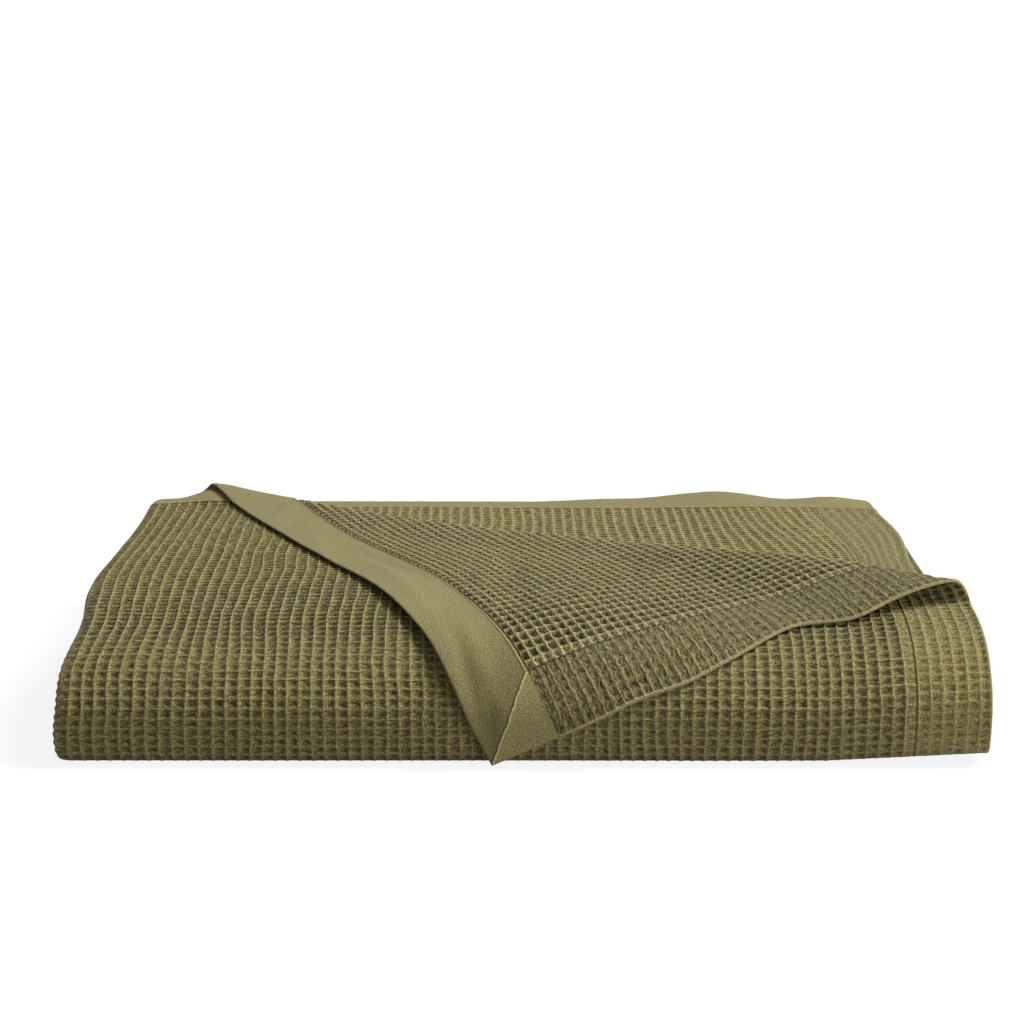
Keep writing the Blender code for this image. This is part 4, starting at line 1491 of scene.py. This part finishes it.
    def _cells(self) -> ShaderGroup:
        """Waffle cells from the flat position, for cloth whose relief isn't in its mesh.

        Across and along, a bowl is 1 less a power of the distance from the cell's middle. The cells are
        the one bowl times the other, and none in the plain bands.

        Returns:
            The group.
        """
        weave = self.weave
        group = ShaderGroup("waffle_cells", (), ("Depth", "Plain"))
        x, y = group.apart(group.flat)
        bowls = []
        for value, start, size in ((x, 0.0, weave.cell_across), (y, weave.end_band, weave.cell_along)):
            place = group.maths("DIVIDE", group.less(value, start - self.before * size), size)
            away = group.maths("ABSOLUTE", group.plus_times(group.maths("FRACT", place), 2.0, -1.0))
            bowls.append(group.less(1.0, group.maths("POWER", away, self.bowl_power)))
        from_end = group.maths("MINIMUM", y, group.less(self.cloth.length, y))
        plain = group.span(from_end, weave.end_band - self.step, weave.end_band + self.step, 1.0, 0.0)
        both = group.times(bowls[0], group.plus_times(bowls[1], 1.0 - self.rung, self.rung))
        group.give(Depth=group.times(both, group.less(1.0, plain)), Plain=plain)
        return group


@dataclass(frozen=True)
class CottonFinish:
    """Matt olive cotton: colours of ridges, painted shade on the cells' walls and in their hollows, and how
    strong its yarn shows.
    """

    name: str
    effects: CottonEffects
    plain: Colour = (0.26, 0.217, 0.083, 1.0)
    cool: Colour = (0.24, 0.21, 0.085, 1.0)
    crest: Colour = (0.35, 0.293, 0.11, 1.0)
    # wall and hollow: painted shade on the cells' walls and in their hollows
    wall: Colour = (0.2, 0.168, 0.057, 1.0)
    hollow: Colour = (0.052, 0.043, 0.013, 1.0)
    # where in a cell the painted shade of its wall starts and ends, and where that of its hollow does
    wall_span: tuple[float, float] = (0.02, 0.42)
    hollow_span: tuple[float, float] = (0.35, 0.98)
    pit_span: tuple[float, float] = (0.1, 0.45)
    # the yarn: clouds of the cooler colour, specks on plain and on waffle cloth, floats in the cells
    cloud_span: tuple[float, float] = (0.4, 0.66)
    grain: tuple[float, float] = (0.5, 0.62)
    grain_span: tuple[float, float] = (0.3, 0.7)
    float_span: tuple[float, float] = (0.34, 0.62)
    dash: tuple[float, float] = (0.45, 1.35)
    # how far the browner and greener specks go from red, green and blue
    warmth: tuple[float, float, float] = (0.07, 0.0, -0.09)
    # painted shade in the sewn grooves and painted highlight on the rolled edges and threads
    groove_painted_shade: float = 0.32
    roll_painted_highlight: float = 2.1
    # heights for the bump, metres
    pitch: float = 0.00055
    yarn_height: float = 0.00022
    roll_height: float = 0.00022
    groove_depth: float = 0.0005
    cell_depth: float = 0.0016
    roughness: float = 0.93
    gloss: float = 0.2
    sheen: float = 0.1
    sheen_roughness: float = 0.6
    cells_in_mesh: bool = True
    zigzag: float = 0.0

    def build(self) -> bpy.types.Material:
        """Build the material: colours darkened by the depth in a cell as painted shade, times the yarn's
        specks, painted shade in sewn grooves and painted highlight on rolled edges, and a bump.

        Returns:
            The new material.
        """
        made = bpy.data.materials.new(self.name)
        made.use_nodes = True
        tree = NodeTree(made.node_tree)
        flat = tree.node("ShaderNodeUVMap", uv_map="cloth").outputs["UV"]
        yarn = tree.placed(self.effects.yarn, Flat=flat, Pitch=self.pitch)
        sewing = tree.placed(self.effects.sewing, Flat=flat, Zigzag=self.zigzag)
        height = tree.times(yarn["Height"], self.yarn_height)
        height = tree.plus_times(sewing["Roll"], self.roll_height, height)
        height = tree.plus_times(sewing["Groove"], -self.groove_depth, height)
        # the hollow attribute, or the bump cells' depth, darkens the colour as painted shade
        if self.cells_in_mesh:
            depth = tree.node("ShaderNodeAttribute", attribute_name="hollow").outputs["Fac"]
            waffle = tree.node("ShaderNodeAttribute", attribute_name="waffle").outputs["Fac"]
        else:
            cells = tree.placed(self.effects.cells, Flat=flat)
            depth = cells["Depth"]
            waffle = tree.less(1.0, cells["Plain"])
            height = tree.plus_times(depth, -self.cell_depth, height)
        body = tree.mix(tree.span(yarn["Cloud"], *self.cloud_span), self.plain, self.cool)
        ridges = tree.mix(waffle, body, self.crest)
        # painted shade on the cells' walls and in their hollows
        walls = tree.mix(tree.span(depth, *self.wall_span), ridges, self.wall)
        shaded = tree.mix(tree.span(depth, *self.hollow_span), walls, self.hollow)
        specks = self._specks(tree, yarn, depth, waffle)
        # painted shade in the sewn grooves, painted highlight on rolled edges and threads
        sewn = tree.times(
            tree.lerp(sewing["Groove"], 1.0, self.groove_painted_shade),
            tree.lerp(sewing["Roll"], 1.0, self.roll_painted_highlight),
        )
        specks = tree.times(specks, sewn)
        shade = tree.node("ShaderNodeCombineColor")
        for socket, warm in zip(shade.inputs, self.warmth):
            tree.put(socket, tree.times(specks, tree.plus_times(yarn["Tint"], warm, 1.0)))
        bump = {"Strength": 1.0, "Distance": 1.0, "Height": height}
        values = {
            "Base Color": tree.mix(1.0, shaded, shade.outputs[0], "MULTIPLY"),
            "Normal": tree.fed(tree.node("ShaderNodeBump"), bump),
            "Roughness": self.roughness,
            "Specular IOR Level": self.gloss,
            "Sheen Weight": self.sheen,
            "Sheen Roughness": self.sheen_roughness,
        }
        tree.fed(made.node_tree.nodes["Principled BSDF"], values)
        return made

    def _specks(self, tree: NodeTree, yarn: Sequence[Socket], depth: Socket, waffle: Socket) -> Socket:
        """Brightness of the yarn's specks, and of its floats in the cells.

        Args:
            tree: the material's node tree.
            yarn: outputs of the yarn's group.
            depth: depth in a cell.
            waffle: where the cloth is waffle.

        Returns:
            A number round 1.
        """
        grain = tree.lerp(waffle, *self.grain)
        speck = tree.plus_times(tree.span(yarn["Heather"], *self.grain_span, -1.0, 1.0), grain, 1.0)
        dashes = tree.span(yarn["Floats"], *self.float_span, *self.dash)
        in_pit = tree.times(tree.span(depth, *self.pit_span), waffle)
        return tree.times(speck, tree.lerp(in_pit, 1.0, dashes))


# ---- the blanket
def nearest(lines: Array, place: float) -> int:
    """Number of the line that is nearest to a place."""
    return int(np.argmin(np.abs(lines - place)))


@dataclass
class WaffleBlanket:
    """The whole blanket: one cloth, shown in stretches that meet under folds."""

    fold: FoldSizes = field(default_factory=FoldSizes)
    weave: WeaveSizes = field(default_factory=WeaveSizes)
    # x up to which, and length to which, the second ply is shown in full relief
    under_steps: Table = ((-0.1, 0.115), (0.05, 0.2), (0.2, 0.285), (0.4, 0.346))
    # which of these steps parts the second ply's two stretches
    under_parting: int = 1
    # blocks: the rounded edge, the plain band's, the seam's, those beside the hem's row, the least gap
    round_block: float = 0.0016
    band_blocks: int = 8
    seam_block: float = 0.0014
    row_block: float = 0.0009
    least_gap: float = 0.0008
    # a share of a cell that counts as none, and the share of its flat size from which a sheet is whole
    slack: float = 1e-6
    whole_from: float = 0.999
    # how far the stretches go on under others: cells round the left fold, on the floor, the second ply
    left_cells: float = 2.5
    floor_reach: float = 0.03
    under_reach: float = 0.012
    # beyond the roll's start: where the lying ply and the turned corner end, thin and are full
    lying_end: float = 0.011
    lying_thin: float = 0.003
    turned_end: float = -0.008
    turned_thin: float = -0.002
    thin_blend: float = 0.005
    # hidden plies: even lines across and along, where they start and end, and the least gap of lines
    wide_block: float = 0.026
    wide_ends: tuple[float, float] = (0.03, 0.01)
    long_block: float = 0.016
    long_end: float = 0.006
    hidden_gap: float = 0.0012
    edge_lines: tuple[float, float] = (0.004, 0.012)
    # their lines round each fold: how far past it, and how many, across and along the cloth
    fold_past: tuple[float, float] = (0.012, 0.008)
    fold_lines: tuple[int, int] = (17, 15)
    # round the bottom of the front, before and past it, and past the lower front fold
    front_past: tuple[float, float] = (0.05, 0.03)
    front_lines: int = 30
    nose_past: float = 0.06
    nose_lines: int = 12
    bare_start: float = field(default=0.0, init=False)
    bare_steps: list[tuple[float, float]] = field(default_factory=list, init=False)
    sheets: list[tuple[ReliefSheet, bpy.types.Object]] = field(default_factory=list, init=False)

    def __post_init__(self) -> None:
        """Work out the folded cloth and its relief."""
        self.cloth = FoldedCloth(self.fold)
        path, edges = self.cloth.path, self.cloth.edges
        self.relief = WaffleRelief(self.weave, self.cloth.width, self.cloth.length, path.wrap_end, edges[1])

    def cell_lines(self, start: float, end: float, size: float, first: float) -> Array:
        """Ridge lines between start and end: whole steps of a size counted from first."""
        low, high = (start - first) / size - self.slack, (end - first) / size + self.slack
        return first + size * np.arange(math.ceil(low), math.floor(high) + 1)

    def lines_along(self, end: float) -> Array:
        """Block edges along the cloth: the rounded end, the plain band, the seam, then one a cell.

        Args:
            end: length up to which there are cells.

        Returns:
            The lengths, rising.
        """
        band, edge = self.weave.end_band, self.round_block
        cells = self.cell_lines(band, end, self.weave.cell_along, band)
        plain = np.linspace(edge, band - edge, self.band_blocks)
        return np.concatenate(([0.0], plain, [band, band + self.seam_block], cells[1:]))

    def lines_across(self, end: float) -> Array:
        """Block edges across the top ply: the rounded edge, one a cell, and two at the hem's row.

        Args:
            end: width up to which there are cells.

        Returns:
            The widths, rising.
        """
        hem, size = self.weave.side_hem, self.weave.cell_across
        cells = self.cell_lines(size, end, size, 0.0)
        cells = cells[np.abs(cells - hem) > self.least_gap]
        row = [hem - self.row_block, hem + self.row_block]
        return np.sort(np.concatenate(([0.0, self.round_block], cells, row)))

    def is_lying(self, across: Array, along: Array) -> Array:
        """Whether top ply points lie before the slanting fold, or just past the start of its roll."""
        return (self.cloth.beyond_fold(across, along) < self.lying_end) | (across > self.cloth.edges[1])

    def lying_strength(self, across: Array, along: Array) -> Array:
        """Full before the slanting fold, falling to 0 just past the start of its roll."""
        past = 1.0 - ease((self.cloth.beyond_fold(across, along) - self.lying_thin) / self.thin_blend)
        return np.where(across > self.cloth.edges[1], 1.0, past)

    def is_turned(self, across: Array, along: Array) -> Array:
        """Whether top ply points are in the turned corner, or just before the start of its roll."""
        return (self.cloth.beyond_fold(across, along) > self.turned_end) & (across < self.cloth.edges[1])

    def turned_strength(self, across: Array, along: Array) -> Array:
        """Full in the turned corner, falling to 0 just before the start of its roll."""
        return ease((self.cloth.beyond_fold(across, along) - self.turned_thin) / self.thin_blend)

    def is_bare(self, across: Array, along: Array) -> Array:
        """Whether second ply points lie in the stretch that the turned corner has left bare.

        Args:
            across: flat width of the points.
            along: flat length of the points.

        Returns:
            True or false for each point.
        """
        found = np.zeros(across.shape, bool)
        for edge, length in self.bare_steps:
            found |= (across < edge) & (along < length)
        return found

    def is_covered(self, across: Array, along: Array) -> Array:
        """Whether points of the plies inside aren't in the second ply's bare stretch."""
        return ~self.is_bare(across, along) | (across < self.bare_start)

    def build(self, effects: CottonEffects) -> None:
        """Build and dress every stretch of the cloth.

        Args:
            effects: shared node groups.
        """
        near = CottonFinish("olive_waffle", effects).build()
        near_wrong = CottonFinish(
            "olive_waffle_wrong_side",
            effects,
            crest=(0.415, 0.351, 0.14, 1.0),
            # wall and hollow: painted shade in the wrong side's cells
            wall=(0.138, 0.115, 0.038, 1.0),
            hollow=(0.038, 0.031, 0.009, 1.0),
            dash=(0.2, 1.5),
            zigzag=1.0,
        ).build()
        far = CottonFinish("olive_waffle_inside", effects, cells_in_mesh=False).build()
        top = self._top_sheets()
        second = self._second_sheets()
        for sheet in (*top, *second):
            self._dress(sheet, near if sheet.side is Side.RIGHT else near_wrong, far)
        for sheet in self._inside_sheets(float(top[0].across[-1]), float(top[0].along[-1])):
            self._dress(sheet, far)

    def _dress(self, sheet: ReliefSheet, *finishes: bpy.types.Material) -> None:
        """Build a stretch, give it its finishes in order, and keep it.

        Args:
            sheet: the stretch.
            *finishes: materials of the shown side and, where it is another, of the hidden side.
        """
        made = sheet.build()
        for finish in finishes:
            made.data.materials.append(finish)
        self.sheets.append((sheet, made))

    def _top_sheets(self) -> list[ReliefSheet]:
        """The top ply, parted at the turned corner's tip, and the turned corner.

        Returns:
            The three sheets.
        """
        cloth, relief, gap = self.cloth, self.relief, self.least_gap
        across = self.lines_across(cloth.edges[2] + self.left_cells * self.weave.cell_across)
        along = self.lines_along(cloth.path.wrap_end + cloth.path.arc + self.floor_reach)
        tip = self.fold.right_edge - self.fold.corner_tip[0]
        left = np.append(tip, across[across > tip + gap])
        right = np.append(across[across < tip - gap], tip)
        sheets = [
            ReliefSheet(name, cloth, relief, lines, along, keep=self.is_lying, strength=self.lying_strength)
            for name, lines in (("top_ply_left", left), ("top_ply_right", right))
        ]
        corner = ReliefSheet("turned_corner", cloth, relief, across, along, Side.WRONG, Ribs.ACROSS)
        corner.keep, corner.strength = self.is_turned, self.turned_strength
        return [*sheets, corner]

    def _second_sheets(self) -> list[ReliefSheet]:
        """The second ply as far as it shows, in two stretches.

        Returns:
            The two sheets.
        """
        cloth, relief = self.cloth, self.relief
        free = cloth.width - self.lines_across(cloth.width - cloth.edges[6] - self.under_reach)[::-1]
        along = self.lines_along(self.under_steps[-1][1])
        for side, length in self.under_steps:
            edge = free[nearest(free, side + cloth.edges[6] - cloth.left_under)]
            self.bare_steps.append((edge, along[nearest(along, length)]))
        self.bare_start = free[0]
        parting = nearest(free, self.bare_steps[self.under_parting][0])
        stretches = (("second_ply_left", free[: parting + 1]), ("second_ply_right", free[parting:]))
        return [
            ReliefSheet(name, cloth, relief, lines, along, Side.WRONG, Ribs.ALONG, keep=self.is_bare)
            for name, lines in stretches
        ]

    def _inside_sheets(self, top_end: float, wrap_end: float) -> list[ReliefSheet]:
        """The plies inside the top panel, and all panels below it, with few faces and finer folds.

        Args:
            top_end: width at which the top ply's sheet ends.
            wrap_end: length at which the top ply's sheet ends.

        Returns:
            The two sheets.
        """
        cloth, relief = self.cloth, self.relief
        across, along = self._hidden_lines()
        widths = (top_end, self.bare_start, *(edge for edge, _ in self.bare_steps))
        lengths = (wrap_end, *(length for _, length in self.bare_steps))
        first = self._thinned(np.concatenate((across[across > top_end], widths)), (*widths, cloth.width))
        head = self._thinned(np.concatenate((along[along < wrap_end], lengths)), (0.0, *lengths))
        every = self._thinned(across, (0.0, cloth.width))
        rest = self._thinned(np.append(along[along > wrap_end], wrap_end), (wrap_end, cloth.length))
        whole = ((0.0,), (0.0,))
        return [
            ReliefSheet("inner_plies", cloth, relief, first, head, parts=whole, keep=self.is_covered),
            ReliefSheet("lower_panels", cloth, relief, every, rest, parts=whole),
        ]

    def _hidden_lines(self) -> tuple[Array, Array]:
        """Block edges of the hidden plies: even ones, and more round every fold, across and along.

        Returns:
            Widths and lengths, not sorted.
        """
        path, edges, marks = self.cloth.path, self.cloth.edges, self.cloth.path.marks
        width, length, edge = self.cloth.width, self.cloth.length, self.round_block
        past_across, past_along = self.fold_past
        lines_across, lines_along = self.fold_lines
        across = [
            np.linspace(edges[index] - past_across, edges[index + 1] + past_across, lines_across)
            for index in (1, 3, 5)
        ]
        across += [np.arange(self.wide_ends[0], width - self.wide_ends[1], self.wide_block)]
        across += [[0.0, edge, *self.edge_lines, width - edge, width]]
        along = [
            np.linspace(marks[fold] - past_along, marks[fold + "_end"] + past_along, lines_along)
            for fold in ("back_low", "nose_low", "back_high", "nose_high")
        ]
        along += [np.arange(0.0, length - self.long_end, self.long_block), [edge, length - edge, length]]
        before, past = path.wrap_end - self.front_past[0], path.wrap_end + path.arc + self.front_past[1]
        along += [np.linspace(before, past, self.front_lines)]
        nose = marks["nose_low_end"]
        along += [np.linspace(nose, nose + self.nose_past, self.nose_lines)]
        return np.concatenate(across), np.concatenate(along)

    def _thinned(self, lines: Array, fixed: Sequence[float]) -> Array:
        """Lines without those that are too near to the one before or to a fixed one, and every fixed one.

        Args:
            lines: places of the lines, in any order.
            fixed: places that stay, of which the least and the greatest are the ends.

        Returns:
            The places, rising.
        """
        held = np.array(fixed)
        others = lines[np.abs(lines[:, None] - held[None, :]).min(axis=1) > self.hidden_gap]
        others = np.sort(others[(others > held.min()) & (others < held.max())])
        slots = np.floor(others / self.hidden_gap).astype(int)
        apart = np.diff(slots, prepend=slots[0] - 2) > 1
        return np.sort(np.concatenate((others[apart], held)))

    def declare(self) -> None:
        """Ride on the body, and stand for the solid."""
        for index, (sheet, made) in enumerate(self.sheets):
            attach(made, "root")
            if index == 0:
                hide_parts("blanket")


# ---- the studio
@dataclass
class Studio:
    """Pale floor, soft light from the upper right and the camera."""

    focal: float = 79.1
    sensor: float = 36.0
    eye: tuple[float, float, float] = (-0.00605, -1.62311, 0.51658)
    pitch: float = 13.6
    near_clip: float = 0.05
    # share of the surround's white that lights the object
    ambient: float = 0.27
    # the sun's power and width in degrees, and the lamp's power and width; directions from the pad
    key_power: float = 3.7
    key_width: float = 26.0
    key_way: tuple[float, float, float] = (0.63, 0.08, 0.77)
    key_away: float = 3.0
    fill_power: float = 11.5
    fill_width: float = 0.7
    fill_way: tuple[float, float, float] = (0.74, -0.63, 0.22)
    fill_away: float = 1.8
    # the floor: its four edges, its paint for the light and for the eye, and its glow to the eye
    floor_edges: tuple[float, float, float, float] = (-30.0, 30.0, -30.0, 60.0)
    floor_paint: Colour = (0.42, 0.42, 0.42, 1.0)
    floor_seen: Colour = (0.15, 0.15, 0.15, 1.0)
    floor_glow: float = 0.87
    floor_roughness: float = 0.9

    def build(self) -> None:
        """Build floor, lights and camera."""
        scene = bpy.context.scene
        scene.view_settings.view_transform = "Standard"
        self._surround()
        self._floor()
        key = bpy.data.lights.new("key", "SUN")
        key.energy, key.angle = self.key_power, math.radians(self.key_width)
        self._aim(key, self.key_way, self.key_away)
        fill = bpy.data.lights.new("fill", "AREA")
        fill.energy, fill.size = self.fill_power, self.fill_width
        self._aim(fill, self.fill_way, self.fill_away)
        lens = bpy.data.cameras.new("camera")
        lens.lens, lens.sensor_width, lens.clip_start = self.focal, self.sensor, self.near_clip
        camera = bpy.data.objects.new("camera", lens)
        camera.location = self.eye
        camera.rotation_euler = (math.radians(90.0 - self.pitch), 0.0, 0.0)
        scene.collection.objects.link(camera)
        scene.camera = camera

    def _surround(self) -> None:
        """White surround: full white behind the object, and a softer white as light."""
        world = bpy.data.worlds.new("studio")
        world.use_nodes = True
        tree = NodeTree(world.node_tree)
        to_eye = tree.node("ShaderNodeLightPath").outputs["Is Camera Ray"]
        back = world.node_tree.nodes["Background"].inputs
        back["Color"].default_value = (1.0, 1.0, 1.0, 1.0)
        tree.put(back["Strength"], tree.plus_times(to_eye, 1.0 - self.ambient, self.ambient))
        bpy.context.scene.world = world

    def _floor(self) -> None:
        """Pale floor that glows a little to the eye, so that it stays white with a faint shadow."""
        left, right, front, back = self.floor_edges
        corners = np.array([[left, front, 0.0], [right, front, 0.0], [right, back, 0.0], [left, back, 0.0]])
        floor = make_mesh("floor", corners, [np.array([[0, 1, 2, 3]])], corners[:, :2], {})
        paint = bpy.data.materials.new("pale_floor")
        paint.use_nodes = True
        tree = NodeTree(paint.node_tree)
        to_eye = tree.node("ShaderNodeLightPath").outputs["Is Camera Ray"]
        values = {
            "Roughness": self.floor_roughness,
            "Specular IOR Level": 0.0,
            "Emission Color": (1.0, 1.0, 1.0, 1.0),
            "Base Color": tree.mix(to_eye, self.floor_paint, self.floor_seen),
            "Emission Strength": tree.times(to_eye, self.floor_glow),
        }
        tree.fed(paint.node_tree.nodes["Principled BSDF"], values)
        floor.data.materials.append(paint)

    def _aim(self, lamp: bpy.types.Light, towards: tuple[float, float, float], away: float) -> None:
        """Hang a lamp so that it shines on the pad.

        Args:
            lamp: the lamp.
            towards: direction from the pad to the lamp.
            away: distance of the lamp.
        """
        hung = bpy.data.objects.new(lamp.name, lamp)
        x, y, z = towards
        hung.location = tuple(away * value / math.hypot(*towards) for value in towards)
        hung.rotation_euler = (math.atan2(math.hypot(x, y), z), 0.0, math.atan2(x, -y))
        bpy.context.scene.collection.objects.link(hung)


def main() -> None:
    """Build the blanket and the studio."""
    logging.basicConfig(level=logging.INFO, format="%(name)s %(message)s")
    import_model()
    blanket = WaffleBlanket()
    blanket.build(CottonEffects(blanket.weave, blanket.cloth))
    blanket.declare()
    Studio().build()
    bpy.context.view_layer.update()


if __name__ == "__main__":
    main()
